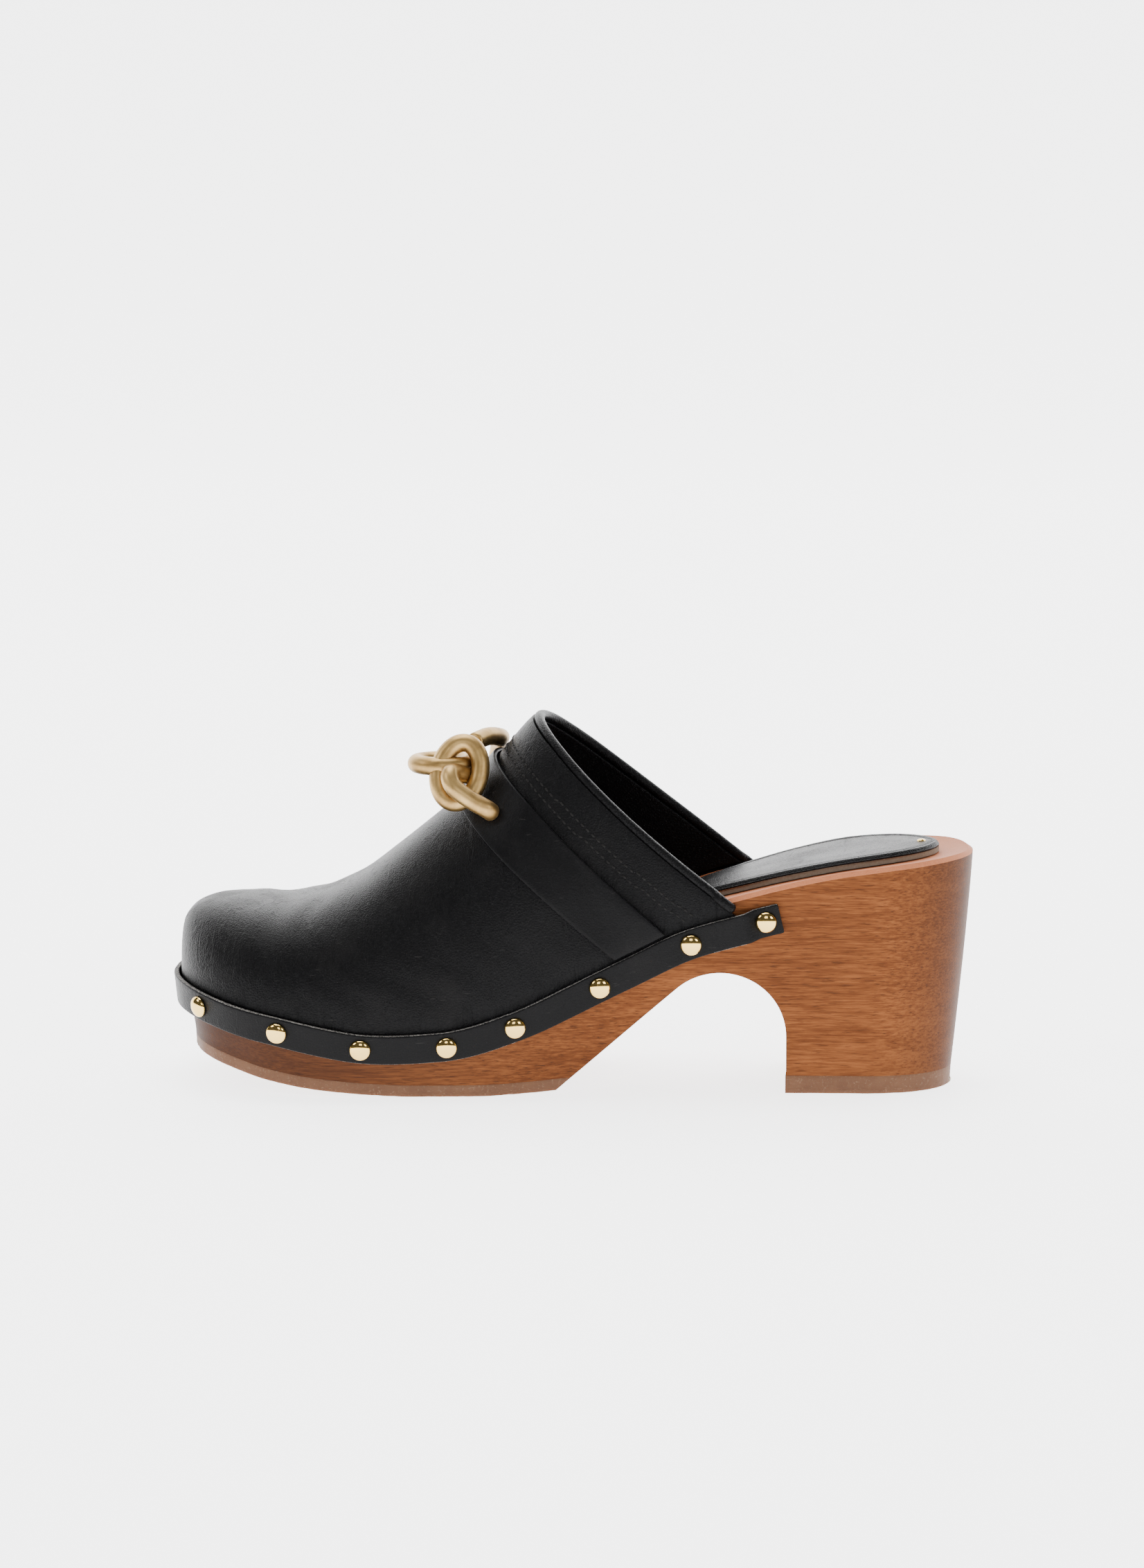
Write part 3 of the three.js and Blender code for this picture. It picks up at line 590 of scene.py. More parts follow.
wood, sanded, rubber = woodFinish(), rimFinish(), rubberFinish()
leather, edge = leatherFinish(), rawEdgeFinish()
strapLeather = leatherFinish("strapLeather", grain=0.5, crease=0.4)
collarLeather = leatherFinish("collarLeather", grain=1.2, shine=0.08, crease=0.3)
liningLeather = leatherFinish("liningLeather", grain=0.6, shine=-0.2, crease=0.5)
sockLeather = leatherFinish("sockLeather", grain=1.1, shine=0.05, crease=0.15)
gold, brass = goldFinish(), brassFinish()
thread = simpleFinish("blackThread", (0.3, 2, 0.5, (1, 1, 3)), (srgb(5, 5, 5), srgb(38, 37, 36)), (0.2, 0.5),
                      Specular_IOR_Level=0.1)
steel = simpleFinish("plainSteel", (0.3, 3, 0.6, (1, 0.3, 1)), (srgb(150, 150, 150), srgb(190, 190, 188)),
                     (0.2, 0.25), Metallic=1.0)
filler = simpleFinish("pressedFibre", (0.6, 4, 0.7), (srgb(120, 112, 98), srgb(170, 162, 146)), (0.1, 0.85),
                      depth=0.2)
print("finishes made")

# ---- sole ----

woodPiece = {"rows": (26, 60), "levels": 14, "across": 22, "edgeRound": 0.5, "edgeAngle": 38,
             "archSides": 96, "cutterHalf": 0.08, "cutterDrop": 6}


def soleLoop(x, level):  # level runs round the section: up one side, over the top, down the other, underneath
    levels, across = woodPiece["levels"], woodPiece["across"]
    half = levels + 2 + across
    k = round(level * 2 * half) % (2 * half)
    back = k >= half
    k %= half

    def wallPoint(sign, step):
        if step <= levels:
            point = wall(x, sign, mix(woodBottom(x), rim(x) - sole["chamfer"], step / levels))
            if step == 0:
                point.z = woodBottom(point.x)
            return point
        lip = wall(x, sign, rim(x)) - outward(x, sign) * sole["chamfer"]
        lip.z = insole(lip.x, lip.y)
        return lip

    if k <= levels + 1:
        return wallPoint(1, levels + 1 - k) if back else wallPoint(-1, k)
    part = (k - levels - 1) / (across + 1)
    if back:
        point = wallPoint(1, 0).lerp(wallPoint(-1, 0), part)
        point.z = woodBottom(point.x)
        return point
    point = wallPoint(-1, levels + 1).lerp(wallPoint(1, levels + 1), part)
    point.z = insole(point.x, point.y)
    return point


def archCutters():
    high = sole["archTop"] - sole["archRadius"]
    middle = sole["breast"] - sole["archRadius"]
    deselectAll()
    bpy.ops.mesh.primitive_cylinder_add(vertices=woodPiece["archSides"], radius=sole["archRadius"] * mm,
                                        depth=2 * woodPiece["cutterHalf"], rotation=(math.pi / 2, 0, 0),
                                        location=(middle * mm, 0, high * mm))
    drum = bpy.context.active_object
    bpy.ops.object.transform_apply()
    turn = math.pi / 2 + sole["rampAngle"]
    start = (middle + sole["archRadius"] * math.cos(turn), high + sole["archRadius"] * math.sin(turn))
    low = -woodPiece["cutterDrop"]
    floorX = start[0] - (start[1] - low) / math.tan(sole["rampAngle"])
    deselectAll()
    bpy.ops.mesh.primitive_cube_add(size=2)
    wedge = bpy.context.active_object
    corners = {(-1, -1): (floorX, low), (-1, 1): start,
               (1, -1): (sole["breast"], low), (1, 1): (sole["breast"], high)}
    for vertex in wedge.data.vertices:
        x, z = corners[(round(vertex.co.x), round(vertex.co.z))]
        vertex.co = Vector((x * mm, vertex.co.y * woodPiece["cutterHalf"], z * mm))
    return [drum, wedge]


def cutWith(piece, cutters):
    for cutter in cutters:
        finishWith(piece, "BOOLEAN", operation="DIFFERENCE", object=cutter, solver="EXACT")


def throwAway(pieces):
    for piece in pieces:
        bpy.data.objects.remove(piece, do_unlink=True)


def woodenSole():
    rows = stations(*woodPiece["rows"])
    count = 2 * (woodPiece["levels"] + 2 + woodPiece["across"])
    piece = gridPiece("woodenSole", len(rows) - 1, count,
                      lambda row, turn: soleLoop(pick(rows, row), turn), ring=True)
    piece.data.materials.append(wood)
    piece.data.materials.append(sanded)
    cutters = archCutters()
    cutWith(piece, cutters)
    throwAway(cutters)
    roundEdges(piece, woodPiece["edgeRound"], woodPiece["edgeAngle"])
    for face in piece.data.polygons:  # the sanded rim and the top
        x, _, z = [c / mm for c in face.center]
        face.material_index = int(z > rim(x) - sole["chamfer"] - 0.1 and face.normal.z > 0.25)
    smoothShade(piece, 35)
    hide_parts("wooden_sole")
    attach(piece, "root")


woodenSole()
print("sole made")


rubberShape = {"layers": 5, "across": 16, "edgeRound": 0.3, "lean": 0.35, "ragged": 0.45, "raggedSize": 0.9}


def rubberSlab(name, node, rows, top, bottom, edgeZ, cutters=()):  # its lower edge is a little ragged
    layers, across = rubberShape["layers"], rubberShape["across"]
    count = 2 * (layers + across)

    def loop(row, turn):
        x = pick(rows, row)
        k = round(turn * count) % count
        up = k < layers + across
        k %= layers + across
        signs = (-1, 1) if up else (1, -1)
        sides = [wall(x, sign, edgeZ(x)) for sign in signs]
        if k <= layers:
            level = k / layers if up else 1 - k / layers
            point = sides[0].copy()
            where = Vector((point.x * rubberShape["raggedSize"], point.y * rubberShape["raggedSize"], 2))
            ragged = noise.noise(where) * rubberShape["ragged"] * (1 - level)
            out = outward(x, signs[0])
            point -= out * (rubberShape["lean"] * (1 - level) - ragged * 0.8)
            point.z = mix(bottom(point.x) + max(0, ragged) * 0.6, top(point.x), level)
            return point
        part = (k - layers) / across
        point = sides[0].lerp(sides[1], part)
        point.z = top(point.x) if up else bottom(point.x)
        return point

    piece = gridPiece(name, len(rows) - 1, count, loop, ring=True)
    closeEnds(piece, bpy.ops.mesh.edge_face_add)
    cutWith(piece, cutters)
    roundEdges(piece, rubberShape["edgeRound"], 40)
    smoothShade(piece, 40)
    return settle(piece, node, "rubber", rubber)


cutters = archCutters()
rubberSlab("forefootOutsole", "forefoot_outsole", stations(40, 90, finish=-80),
           lambda x: outsoleBottom(x) + sole["outsole"], outsoleBottom, woodBottom, cutters=cutters)
rubberSlab("heelTopPiece", "heel_top_piece", [sole["breast"]] + stations(30, 60, start=sole["breast"]),
           lambda x: sole["topPiece"], lambda x: 0, lambda x: sole["topPiece"])
throwAway(cutters)
print("rubber made")

# ---- upper ----

leatherPiece = {"rows": 70, "columns": 120, "crease": 0.3, "edgeRound": 0.35, "puffFrom": 0.05,
                "liningFrom": 0.07}


def crease(s, t):  # soft folds on the flanks, at the toe box and over the stud lines, in millimetres
    point = upperPoint(s, t)
    flank = smooth(abs(t), 0.25, 0.6) * smooth(s, 0.3, 0.45) * (1 - smooth(s, 0.93, 1))
    drift = noise.noise(Vector((point.x * 0.03, point.z * 0.05, point.y * 0.03))) * 9
    folds = math.sin((point.x * 0.8 + point.z * 0.5 + drift * 2.2) * 0.36)
    broad = noise.noise(point * 0.06)
    toe = smooth(s, 0.22, 0.34) * (1 - smooth(s, 0.42, 0.55)) * (1 - 0.5 * abs(t))
    toeFolds = math.sin((point.x + 14 * abs(t) + drift) * 0.55)
    flankFolds = flank * (0.55 * folds + 0.6 * broad)
    return leatherPiece["crease"] * (flankFolds + toe * 0.6 * toeFolds + 0.35 * broad * smooth(s, 0.05, 0.2))


def onLeather(s, t, lift):
    return onUpper(s, t, lift + crease(s, t))


def sheetPiece(name, sRange, edge, lift, thickness, rows, columns, shape=onLeather, frontPower=1.0, rimSlot=0,
               roundEdge=None):
    def where(row, column):
        s = mix(sRange[0], sRange[1], row ** frontPower)
        t = 2 * column - 1
        t *= edge(s, -1 if t < 0 else 1)
        return shape(s, t, (lift(s) if callable(lift) else lift) + thickness / 2)

    piece = gridPiece(name, rows, columns, where)
    finishWith(piece, "SOLIDIFY", thickness=thickness * mm, offset=0, material_offset_rim=rimSlot,
               use_even_offset=False)
    roundEdges(piece, roundEdge or leatherPiece["edgeRound"], 60)
    smoothShade(piece, 50)
    return piece


def aboveRim(s, side):
    return edgeAbove(s, side, lambda x: rim(x) + 2 * upper["gap"])


def liningTop(s):
    deep = upper["puff"] + upper["sheetGap"]
    return -mix(deep, 0, smooth(s, upper["puffEnd"], upper["puffEnd"] + 0.08))


def bandEdge(s, side):
    return edgeAbove(s, side, lambda x: strapTop(x) + upper["bandClear"])


bandLow = 2 * upper["sheetGap"] + upper["leather"]
liningLow = lambda s: liningTop(s) - upper["lining"]
vamp = sheetPiece("vampUpper", (0, 1), lambda s, side: 1, upper["sheetGap"], upper["leather"], leatherPiece["rows"],
                  leatherPiece["columns"], frontPower=1.7, rimSlot=1)
settle(vamp, "vamp_upper", "black_leather", leather, edge)
puffPiece = sheetPiece("toePuff", (leatherPiece["puffFrom"], upper["puffEnd"]), aboveRim, -upper["puff"],
                       upper["puff"], 24, 50, shape=onUpper, roundEdge=0.2)
settle(puffPiece, "toe_puff", "filler", filler)
liningPiece = sheetPiece("vampLining", (leatherPiece["liningFrom"], upper["facing"] - upper["seam"]),
                         aboveRim, liningLow, upper["lining"], 44, 70, shape=onUpper)
settle(liningPiece, "vamp_lining", "lining_leather", liningLeather)
facing = sheetPiece("collarFacing", (upper["facing"] + upper["seam"], 1), aboveRim, liningLow,
                    upper["lining"], 20, 110, shape=onUpper)
settle(facing, "collar_facing", "black_leather", collarLeather)
band = sheetPiece("instepBand", (upper["bandFrom"], upper["bandTo"]), bandEdge, bandLow, upper["bandLeather"],
                  14, 120, rimSlot=1)
settle(band, "instep_band", "black_leather", strapLeather, edge)
print("upper made")

# ---- rods: the binding and the ornament ----


def lengthsAlong(points):
    lengths = [0]
    for a, b in zip(points, points[1:]):
        lengths.append(lengths[-1] + (b - a).length)
    return lengths


def curveThrough(points, steps, closed=False):  # centripetal curve through points, evenly spaced
    count = len(points)
    spans = count if closed else count - 1
    fine = []

    def at(i):
        if closed:
            return points[i % count]
        if i < 0:
            return points[0] * 2 - points[1]
        return points[i] if i < count else points[-1] * 2 - points[-2]

    for i in range(spans):
        p = [at(i + k) for k in (-1, 0, 1, 2)]
        knots = [0]
        for a, b in zip(p, p[1:]):
            knots.append(knots[-1] + max((b - a).length, 0.0001) ** 0.5)
        for k in range(24):
            u = mix(knots[1], knots[2], k / 24)
            a = [p[j].lerp(p[j + 1], (u - knots[j]) / (knots[j + 1] - knots[j])) for j in range(3)]
            b = [a[j].lerp(a[j + 1], (u - knots[j]) / (knots[j + 2] - knots[j])) for j in range(2)]
            fine.append(b[0].lerp(b[1], (u - knots[1]) / (knots[2] - knots[1])))
    fine.append(points[0].copy() if closed else points[-1].copy())
    lengths = lengthsAlong(fine)
    even, j = [], 0
    for i in range(steps + 1):
        goal = lengths[-1] * i / steps
        while j < len(fine) - 2 and lengths[j + 1] < goal:
            j += 1
        even.append(fine[j].lerp(fine[j + 1], (goal - lengths[j]) / (lengths[j + 1] - lengths[j])))
    return even


def framesAlong(path, closed=False):  # directions carried along a path without twist
    ahead = []
    for i in range(len(path)):
        before, after = path[max(i - 1, 0)], path[min(i + 1, len(path) - 1)]
        if closed and i in (0, len(path) - 1):
            before, after = path[-2], path[1]
        ahead.append((after - before).normalized())
    side = ahead[0].orthogonal().normalized()
    frames = []
    for way in ahead:
        side = (side - way * side.dot(way)).normalized()
        frames.append((way, side, way.cross(side)))
    return frames


def rodPiece(name, path, radius, sides=28, closed=False, endRound=0.6):
    # round rod; both ends are rounded over by endRound of the radius
    frames = framesAlong(path, closed)
    rows = [(point, frame, radius) for point, frame in zip(path, frames)]
    if not closed:
        def capRows(point, way, frame):
            made = []
            for k in range(7):
                turn = math.pi / 2 * k / 6
                size = radius * (1 - endRound + endRound * math.cos(turn))
                made.append((point + way * (endRound * radius * (math.sin(turn) - 1)), frame, size))
            return made + [(point, frame, 0)]

        first = capRows(path[0], -frames[0][0], frames[0])
        rows = first[::-1] + rows[2:-2] + capRows(path[-1], frames[-1][0], frames[-1])

    def where(row, column):
        point, (_, side, up), size = pick(rows, row)
        turn = 2 * math.pi * column
        return point + side * (size * math.cos(turn)) + up * (size * math.sin(turn))

    piece = gridPiece(name, len(rows) - 1, sides, where, ring=True, merge=0.000005)
    smoothShade(piece, 40)
    return piece


ornament = {"tube": 2.75, "wide": 6.1, "high": 9.2, "ring": (0, -20.6, 1.9), "lean": 0.2, "tilt": 0.38,
            "crossLong": 7.6, "crossDeep": 6.2, "cross": (2, 0, 1.8), "endRound": 0.25, "crest": 0.825,
            "near": (0.83, -0.34), "far": (0.82, 0.3), "footRise": 2.5, "weld": 0.08, "weldRound": 0.12,
            "steps": 72, "linkSteps": 60}
nearOffsets = [(4.1, -29.6, -4.9), (-1.3, -28.4, -0.9), (-2.3, -25.6, 2.3), (1.5, -19.5, 1.2),
               (3.9, -15.5, 0.4)]
farOffsets = [(9.4, 17.5, 5.8), (9.8, 7.5, 8.5), (7, -1, 9.9), (3.5, -8, 9.3)]


def ovalPath(centre, across, up, wide, high):
    turns = [2 * math.pi * i / ornament["steps"] for i in range(ornament["steps"] + 1)]
    return [centre + across * (wide * math.cos(turn)) + up * (high * math.sin(turn)) for turn in turns]


tilt = Matrix.Rotation(-ornament["tilt"], 3, "X") @ Matrix.Rotation(ornament["lean"], 3, "Y")
alongX, alongY, alongZ = Vector((1, 0, 0)), Vector((0, 1, 0)), Vector((0, 0, 1))
crest = onUpper(ornament["crest"], 0, bandLow + upper["bandLeather"] + ornament["tube"])
ringCentre = crest + Vector(ornament["ring"])
ringPath = ovalPath(ringCentre, tilt @ alongX, tilt @ alongZ, ornament["wide"], ornament["high"])
crossReach = Vector((-ornament["crossLong"], ornament["crossDeep"], 0))
crossCentre = ringCentre + Vector(ornament["cross"]) + crossReach
crossPath = ovalPath(crossCentre, alongX, alongY, ornament["crossLong"], ornament["crossDeep"])


def anchorPath(s, t, bends):
    seat = onUpper(s, t, bandLow + upper["bandLeather"] + 0.05)
    rise = seat + upperNormal(s, t) * ornament["footRise"]
    return curveThrough([seat, rise] + [crest + Vector(bend) for bend in bends], ornament["linkSteps"])


def ornamentPieces():
    tube, cutEnd = ornament["tube"], ornament["endRound"]
    ring = rodPiece("ringLink", ringPath, tube, closed=True)
    settle(ring, "ring_link", "gold", gold)
    grownRing = rodPiece("grownRing", ringPath, tube + ornament["weld"], closed=True)
    grownCross = rodPiece("grownCross", crossPath, tube + ornament["weld"], closed=True)
    cross = rodPiece("crossLink", crossPath, tube, closed=True)
    near = rodPiece("nearAnchorLink", anchorPath(*ornament["near"], nearOffsets), tube, endRound=cutEnd)
    far = rodPiece("farAnchorLink", anchorPath(*ornament["far"], farOffsets), tube, endRound=cutEnd)
    cutWith(cross, [grownRing])
    for piece in (near, far):
        cutWith(piece, [grownRing, grownCross])
    throwAway([grownRing, grownCross])
    for piece, node in ((cross, "cross_link"), (near, "near_anchor_link"), (far, "far_anchor_link")):
        roundEdges(piece, ornament["weldRound"], 50)
        smoothShade(piece, 45)
        settle(piece, node, "gold", gold)


ornamentPieces()


bindingShape = {"steps": 110, "smoothSteps": 240, "sides": 20, "rise": 0.42, "clear": 0.3, "sink": 0.15,
                "swell": 0.05, "endRound": 0.7}


def bindingPath():  # along the topline, moving out on to the sole's wall below the rim
    radius, steps = upper["collarRadius"], bindingShape["steps"]
    clear = lambda x: strapTop(x) + radius
    ends = [-edgeAbove(1, -1, clear), edgeAbove(1, 1, clear)]
    points = []
    for i in range(steps + 1):
        t = mix(ends[0], ends[1], i / steps)
        at = upperPoint(1, t)
        beyond = (upperPoint(1.01, t) - upperPoint(0.99, t)).normalized()
        onWall = smooth(rim(at.x) + 2 * radius - at.z, 0, 2 * radius)
        lift = mix(bindingShape["rise"], radius + bindingShape["clear"], onWall)
        points.append(onUpper(1, t, lift) + beyond * (radius - bindingShape["sink"]))
    return points


binding = rodPiece("collarBinding", curveThrough(bindingPath(), bindingShape["smoothSteps"]),
                   upper["collarRadius"] + bindingShape["swell"], sides=bindingShape["sides"],
                   endRound=bindingShape["endRound"])
settle(binding, "collar_binding", "black_leather", collarLeather)
print("rods made")

# ---- strap and studs ----

strapPiece = {"corner": 0.45, "ends": 0.6, "pucker": 0.18, "puckerWide": 9, "unevenness": 0.06,
              "sectionSteps": 5, "edgeLean": 0.85}
studShape = {"radius": 3.2, "high": 2.0, "rim": 0.28, "shank": 0.8, "long": 9, "sides": 32, "sink": 0.02,
             "tilt": 2.5, "twist": 3}


def strapSection(half):  # rounded box section: rise along the strap's width, lift through its thickness
    corner, thick, turns = strapPiece["corner"], strap["thick"], strapPiece["sectionSteps"]
    points = []
    for cu, cv, first in ((half - corner, thick - corner, 0), (corner - half, thick - corner, 1),
                          (corner - half, corner, 2), (half - corner, corner, 3)):
        for k in range(turns):
            turn = math.pi / 2 * (first + k / (turns - 1))
            points.append((cu + corner * math.cos(turn), cv + corner * math.sin(turn)))
        following = {0: (-1, 0), 1: (0, -1), 2: (1, 0), 3: (0, 1)}[first]
        span = 2 * (half - corner) if following[0] else thick - 2 * corner
        cuts = 8 if following[0] else 2
        u, v = points[-1]
        steps = [span * k / cuts for k in range(1, cuts)]
        points += [(u + following[0] * step, v + following[1] * step) for step in steps]
    return points


def studX(i, side):
    return place(strap["studs"][i]) + (rearShift(side) if i == 0 else 0)


def pucker(x, side):  # the strap is pinched under each stud and proud between them
    nearest = min(abs(x - studX(i, side)) for i in range(len(strap["studs"])))
    uneven = strapPiece["unevenness"] * noise.noise(Vector((x * 0.2, side, 0)))
    return strapPiece["pucker"] * (smooth(nearest, 2, strapPiece["puckerWide"]) - 0.5) + uneven


def strapRows():
    rows = []
    for side in (-1, 1):
        rear = place(strap["end"]) + rearShift(side)
        ends = [rear - strapPiece["ends"] * (1 - math.cos(math.pi / 2 * k / 6)) for k in range(7)]
        places = ends + [x for x in reversed(stations(30, 110)) if x < ends[-1] - 0.5]
        rows.append([(x, side, x - rear) for x in places])
    return rows[0] + rows[1][:-1][::-1]


def randStrap():
    rows = strapRows()
    size = len(strapSection(strap["width"] / 2))

    def where(row, turn):
        x, side, past = pick(rows, row)
        centre, out, across = strapFrame(x, side)
        reach = clamp(1 + past / strapPiece["ends"], 0, 1)
        half = strap["width"] / 2 - strapPiece["ends"] * (1 - math.sqrt(1 - reach ** 2)) * 0.9
        rise, lift = strapSection(half)[round(turn * size) % size]
        lift += pucker(x, side) * (lift / strap["thick"])
        return centre + across * rise + out * (strapLift(x, side) + lift)

    piece = gridPiece("randStrap", len(rows) - 1, size, where, ring=True, merge=0.000005)
    closeEnds(piece, bpy.ops.mesh.fill)
    settle(piece, "rand_strap", "black_leather", strapLeather, edge)
    for face in piece.data.polygons:
        face.material_index = int(abs(face.normal.z) > strapPiece["edgeLean"])
    smoothShade(piece, 50)


randStrap()


def studModel():  # a pressed dome with a turned-down rim over a nail shank, standing on +Z
    radius, high, edgeHigh = studShape["radius"], studShape["high"], studShape["rim"]
    shank, point = studShape["shank"], -studShape["long"]
    profile = [(0, point), (shank * 0.3, point + 0.8), (shank, point + 2), (shank, 0), (radius - 0.5, 0),
               (radius - 0.1, 0.02), (radius, 0.1), (radius, edgeHigh)]
    for k in range(1, 13):
        turn = math.pi / 2 * k / 12
        profile.append((radius * math.cos(turn), edgeHigh + (high - edgeHigh) * math.sin(turn)))

    def where(row, column):
        r, z = pick(profile, row)
        return Vector((r * math.cos(2 * math.pi * column), r * math.sin(2 * math.pi * column), z))

    return gridPiece("studModel", len(profile) - 1, studShape["sides"], where, ring=True, merge=0.000003)


def copiesOf(model, name):
    piece = model.copy()
    piece.data = model.data.copy()
    piece.name = name
    bpy.context.collection.objects.link(piece)
    return piece


def studPieces():
    model = studModel()
    lean, twist = math.radians(studShape["tilt"]), studShape["twist"]
    for sideName, side in (("lateral", -1), ("medial", 1)):
        for i in range(len(strap["studs"])):
            x = studX(i, side)
            centre, out, _ = strapFrame(x, side)
            seat = centre + out * (strapLift(x, side) + strap["thick"] - studShape["sink"])
            wobble = Matrix.Rotation(random.uniform(-lean, lean), 4, "X")
            wobble = wobble @ Matrix.Rotation(random.uniform(-twist, twist), 4, "Z")
            piece = copiesOf(model, f"randStud{sideName.title()}{i + 1}")
            upright = out.to_track_quat("Z", "Y").to_matrix().to_4x4()
            piece.data.transform(Matrix.Translation(seat * mm) @ upright @ wobble)
            settle(piece, f"rand_stud_{sideName}_{i + 1}", "brass", brass)
            smoothShade(piece, 50)
    throwAway([model])


studPieces()
print("strap and studs made")

# ---- heel sock ----

sockShape = {"half": 22, "back": 20, "front": -84, "round": 30, "taper": 1.6, "crown": 0.7, "border": 3.2,
             "groove": 0.35, "grooveWide": 0.55, "roll": 1.1, "rollWide": 1.3, "crownWide": 14,
             "foamLow": 0.3, "foam": 1.6, "foamInset": 1.5, "low": 2.0, "thick": 1.5, "across": 48}


def sockHalf(x, inset=0.0):
    back, middle = sockShape["back"], sockShape["back"] - sockShape["round"]
    half = sockShape["half"] - inset
    if x > middle:
        return half * math.sqrt(max(0, 1 - ((x - middle) / (back - middle)) ** 2))
    return half * (1 - ((middle - x) / (middle - sockShape["front"])) ** sockShape["taper"])


def sockEdge(x, y):  # distance in from the sock's outline
    step = 0.2
    slope = 9
    if sockShape["front"] + step < x < sockShape["back"] - step:
        slope = (sockHalf(x + step) - sockHalf(x - step)) / 0.4
    return max(0, (sockHalf(x) - abs(y)) / math.sqrt(1 + slope * slope))


def sockLayer(name, low, thick, inset, crowned):
    middle = sockShape["back"] - sockShape["round"]
    rows = [mix(sockShape["front"] + 0.02, middle, (i / 50) ** 1.2) for i in range(51)]
    rows += [middle + (sockShape["back"] - middle) * math.sin(math.pi / 2 * i / 24) for i in range(1, 25)]
    across = sockShape["across"]

    def where(row, turn):
        x = pick(rows, row)
        k = round(turn * 2 * across) % (2 * across)
        spread = -math.cos(math.pi * k / across)
        y = sockHalf(x, inset) * spread
        base = insole(x, y)
        if k > across:
            return Vector((x, y, base + low))
        inward = sockEdge(x, y)
        rise = thick
        if crowned:
            rise += sockShape["crown"] * smooth(inward, 0, sockShape["crownWide"])
            rise -= sockShape["roll"] * (1 - smooth(inward, 0, sockShape["rollWide"]))
            fromGroove = (inward - sockShape["border"]) / sockShape["grooveWide"]
            rise -= sockShape["groove"] * math.exp(-fromGroove ** 2)
        return Vector((x, y, base + low + rise))

    piece = gridPiece(name, len(rows) - 1, 2 * across, where, ring=True, merge=0.00002)
    smoothShade(piece, 45)
    return piece


sock = sockLayer("heelSock", sockShape["low"], sockShape["thick"], 0, True)
settle(sock, "heel_sock", "black_leather", sockLeather)
foam = sockLayer("sockFoam", sockShape["foamLow"], sockShape["foam"], sockShape["foamInset"], False)
settle(foam, "sock_foam", "filler", filler)
print("sock made")

# ---- stitches ----

stitchShape = {"pitch": 2.2, "long": 1.75, "radius": 0.32, "rows": (8.4, 11.2), "inside": 13.0,
               "endDip": 0.28, "uneven": 0.08, "clear": 2.5, "sink": 0.02}


def below(t, distance):  # share s of the upper this far below the topline
    s, walked, last = 1.0, 0.0, upperPoint(1, t)
    while walked < distance:
        s -= 0.004
        point = upperPoint(s, t)
        walked += (point - last).length
        last = point
    return s


def stitchModel():
    deselectAll()
    bpy.ops.mesh.primitive_uv_sphere_add(segments=10, ring_count=7, radius=1)
    model = bpy.context.active_object
    for vertex in model.data.vertices:  # flattened, with the ends pulled down into the leather
        x, y, z = vertex.co
        vertex.co = Vector((x * stitchShape["long"] / 2, y * stitchShape["radius"],
                            z * stitchShape["radius"] * 0.9 - stitchShape["endDip"] * x * x)) * mm
    return model


def stitchRow(model, lift, distance, inside=False):
    limit = lambda x: strapTop(x) + stitchShape["clear"]
    ends = [-edgeAbove(0.93, -1, limit), edgeAbove(0.93, 1, limit)]
    path = []
    for i in range(121):
        t = mix(ends[0], ends[1], i / 120)
        s = below(t, distance)
        path.append((s, t, onUpper(s, t, lift) if inside else onLeather(s, t, lift)))
    lengths = lengthsAlong([point for _, _, point in path])
    pieces, j = [], 0
    for n in range(int(lengths[-1] / stitchShape["pitch"])):
        uneven = random.uniform(-stitchShape["uneven"], stitchShape["uneven"])
        goal = (n + 0.5) * stitchShape["pitch"] + uneven
        while lengths[j + 1] < goal:
            j += 1
        part = (goal - lengths[j]) / (lengths[j + 1] - lengths[j])
        point = path[j][2].lerp(path[j + 1][2], part)
        along = (path[j + 1][2] - path[j][2]).normalized()
        out = upperNormal(path[j][0], path[j][1]) * (-1 if inside else 1)
        sideways = out.cross(along).normalized()
        turn = Matrix((along, sideways, along.cross(sideways))).transposed().to_4x4()
        piece = copiesOf(model, "stitch")
        piece.data.transform(Matrix.Translation(point * mm) @ turn)
        pieces.append(piece)
    return pieces


def stitches(name, rows):
    model = stitchModel()
    pieces = []
    for lift, distance, inside in rows:
        pieces += stitchRow(model, lift, distance, inside)
    throwAway([model])
    deselectAll()
    for piece in pieces:
        piece.select_set(True)
    bpy.context.view_layer.objects.active = pieces[0]
    bpy.ops.object.join()
    joined = bpy.context.active_object
    joined.name = name
    joined.data.materials.append(thread)
    smoothShade(joined, 60)
    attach(joined, "root")


outer = upper["sheetGap"] + upper["leather"] + stitchShape["sink"]
stitches("collarStitches", [(outer, distance, False) for distance in stitchShape["rows"]])
stitches("facingStitches", [(-upper["lining"] - stitchShape["sink"], stitchShape["inside"], True)])
print("stitches made")

# ---- small parts kept from the frame ----

for node, finish in (("sock_nail", brass), ("near_anchor_washer", steel), ("far_anchor_washer", steel),
                     ("near_anchor_screw", steel), ("far_anchor_screw", steel)):
    kept = bpy.data.objects[node]
    kept.data.materials.clear()
    kept.data.materials.append(finish)

# ---- floor, light and camera ----

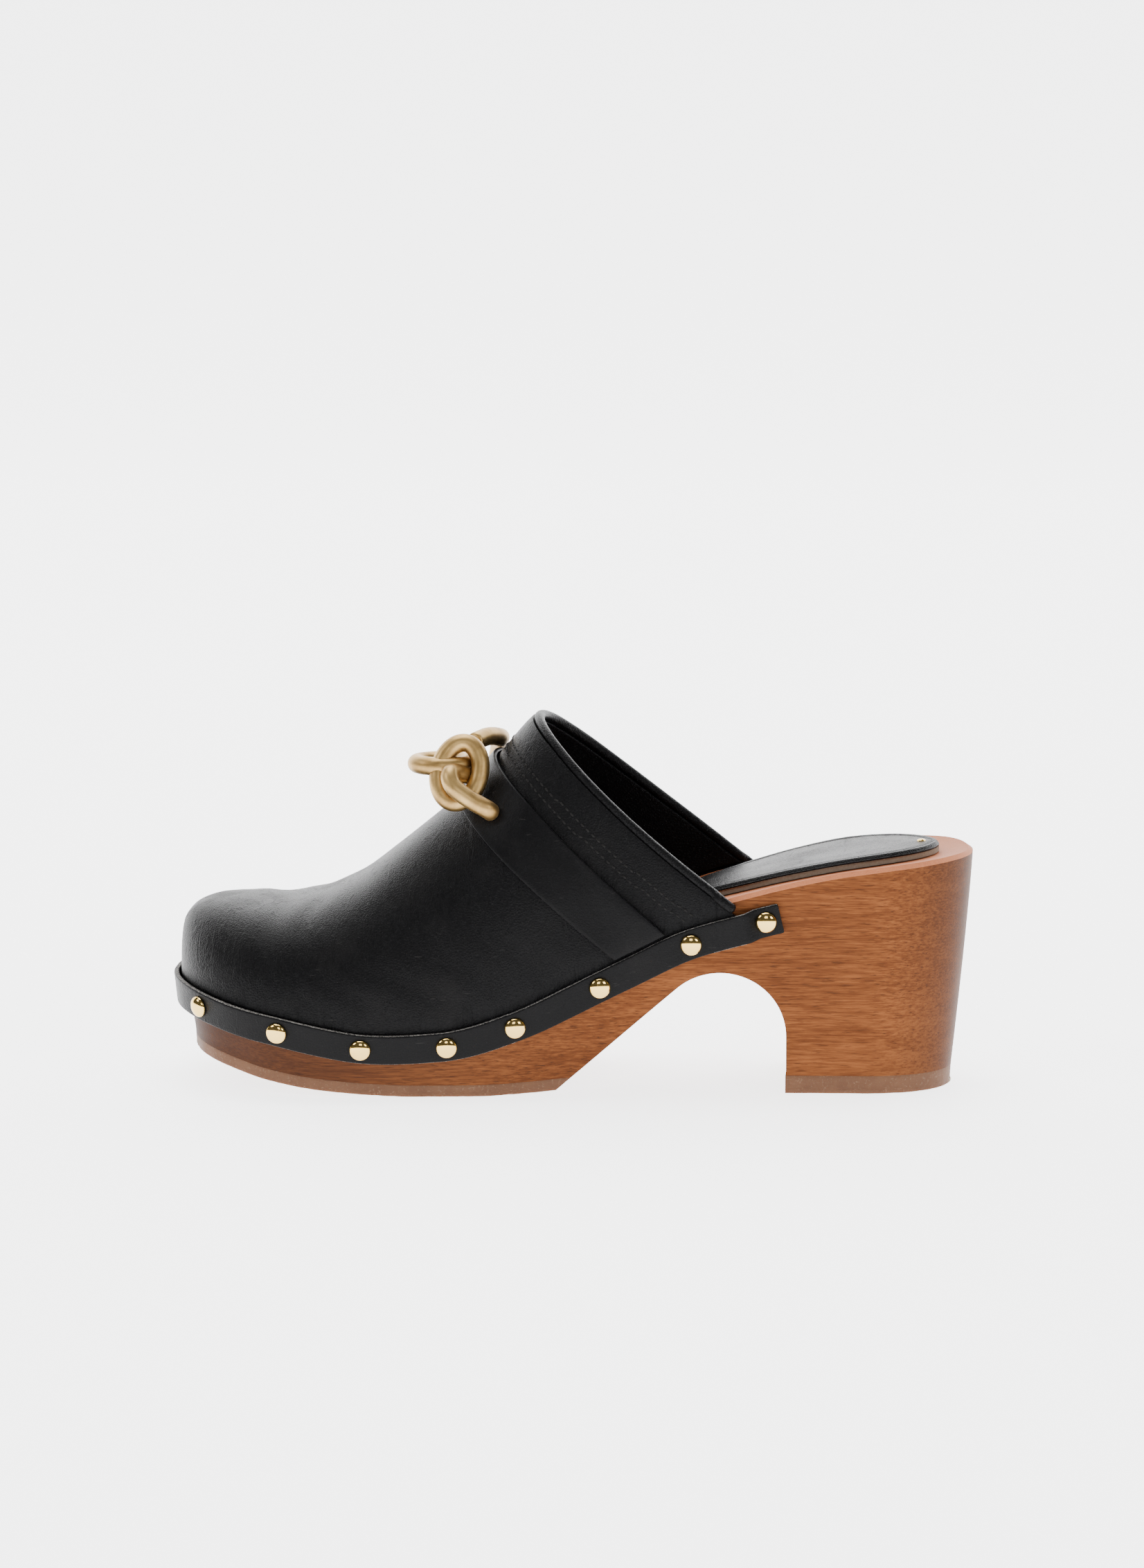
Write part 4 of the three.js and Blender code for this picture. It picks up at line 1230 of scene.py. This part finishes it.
studio = {"floor": srgb(240, 240, 241), "glow": 3.2, "wide": 14, "front": 4.5, "back": 1.6, "sweep": 1.0,
          "high": 4, "world": 0.12, "distance": 1.8, "up": 8.96, "turn": 3.47, "lens": 137.65,
          "target": (-90.2, 0, 88.8)}
lamps = {  # place, aim, width, depth, power
    "overheadSoftbox": ((-0.25, 0.35, 2.2), (-0.09, 0.05, 0), 1.7, 1.3, 46),
    "leftSoftbox": ((-1.8, -0.7, 1.5), (-0.09, 0, 0.06), 0.8, 0.8, 15),
    "rightSoftbox": ((1.5, -1.3, 1.1), (-0.02, 0, 0.05), 0.7, 0.7, 13),
    "frontFill": ((0.1, -2.6, 1.5), (-0.09, 0, 0.05), 1.0, 1.0, 13),
}


def floorPiece():
    back, sweepSize = studio["back"], studio["sweep"]
    profile = [(mix(-studio["front"], back, k / 8), 0) for k in range(9)]
    for k in range(1, 13):
        turn = math.pi / 2 * k / 12
        profile.append((back + sweepSize * math.sin(turn), sweepSize * (1 - math.cos(turn))))
    profile.append((back + sweepSize, studio["high"]))

    def where(row, column):
        y, z = pick(profile, row)
        return Vector(((column - 0.5) * studio["wide"], y, z)) / mm

    piece = gridPiece("studioFloor", len(profile) - 1, 6, where)
    f = Finish("palePaper", Emission_Strength=studio["glow"])
    tooth = f.noise(1.2, 3, 0.6)
    f.put("Base Color", f.colours(tooth * 0.06, studio["floor"], srgb(214, 214, 214)))
    f.put("Roughness", tooth * 0.1 + 0.85)
    f.put("Emission Color", f.colours(tooth * 0.02, (1, 1, 1), (0.9, 0.9, 0.9)))
    piece.data.materials.append(f.material)
    smoothShade(piece, 60)


def areaLight(name, where, towards, width, depth, power):
    deselectAll()
    bpy.ops.object.light_add(type="AREA", location=where)
    lamp = bpy.context.active_object
    lamp.name = name
    lamp.data.shape = "RECTANGLE"
    lamp.data.size = width
    lamp.data.size_y = depth
    lamp.data.energy = power
    lamp.rotation_euler = (Vector(towards) - Vector(where)).to_track_quat("-Z", "Y").to_euler()


floorPiece()
for name, settings in lamps.items():
    areaLight(name, *settings)

world = bpy.data.worlds.new("studioAir")
world.use_nodes = True
air = world.node_tree.nodes["Background"].inputs
air["Color"].default_value = (1, 1, 1, 1)
air["Strength"].default_value = studio["world"]
bpy.context.scene.world = world

target = Vector(studio["target"]) * mm
up, turn = math.radians(studio["up"]), math.radians(studio["turn"])
away = Vector((math.sin(turn) * math.cos(up), -math.cos(turn) * math.cos(up), math.sin(up)))
deselectAll()
bpy.ops.object.camera_add(location=target + away * studio["distance"])
camera = bpy.context.active_object
camera.name = "mainCamera"
camera.rotation_euler = (-away).to_track_quat("-Z", "Y").to_euler()
camera.data.lens = studio["lens"]
camera.data.clip_start = 0.05
bpy.context.scene.camera = camera
print("studio made")
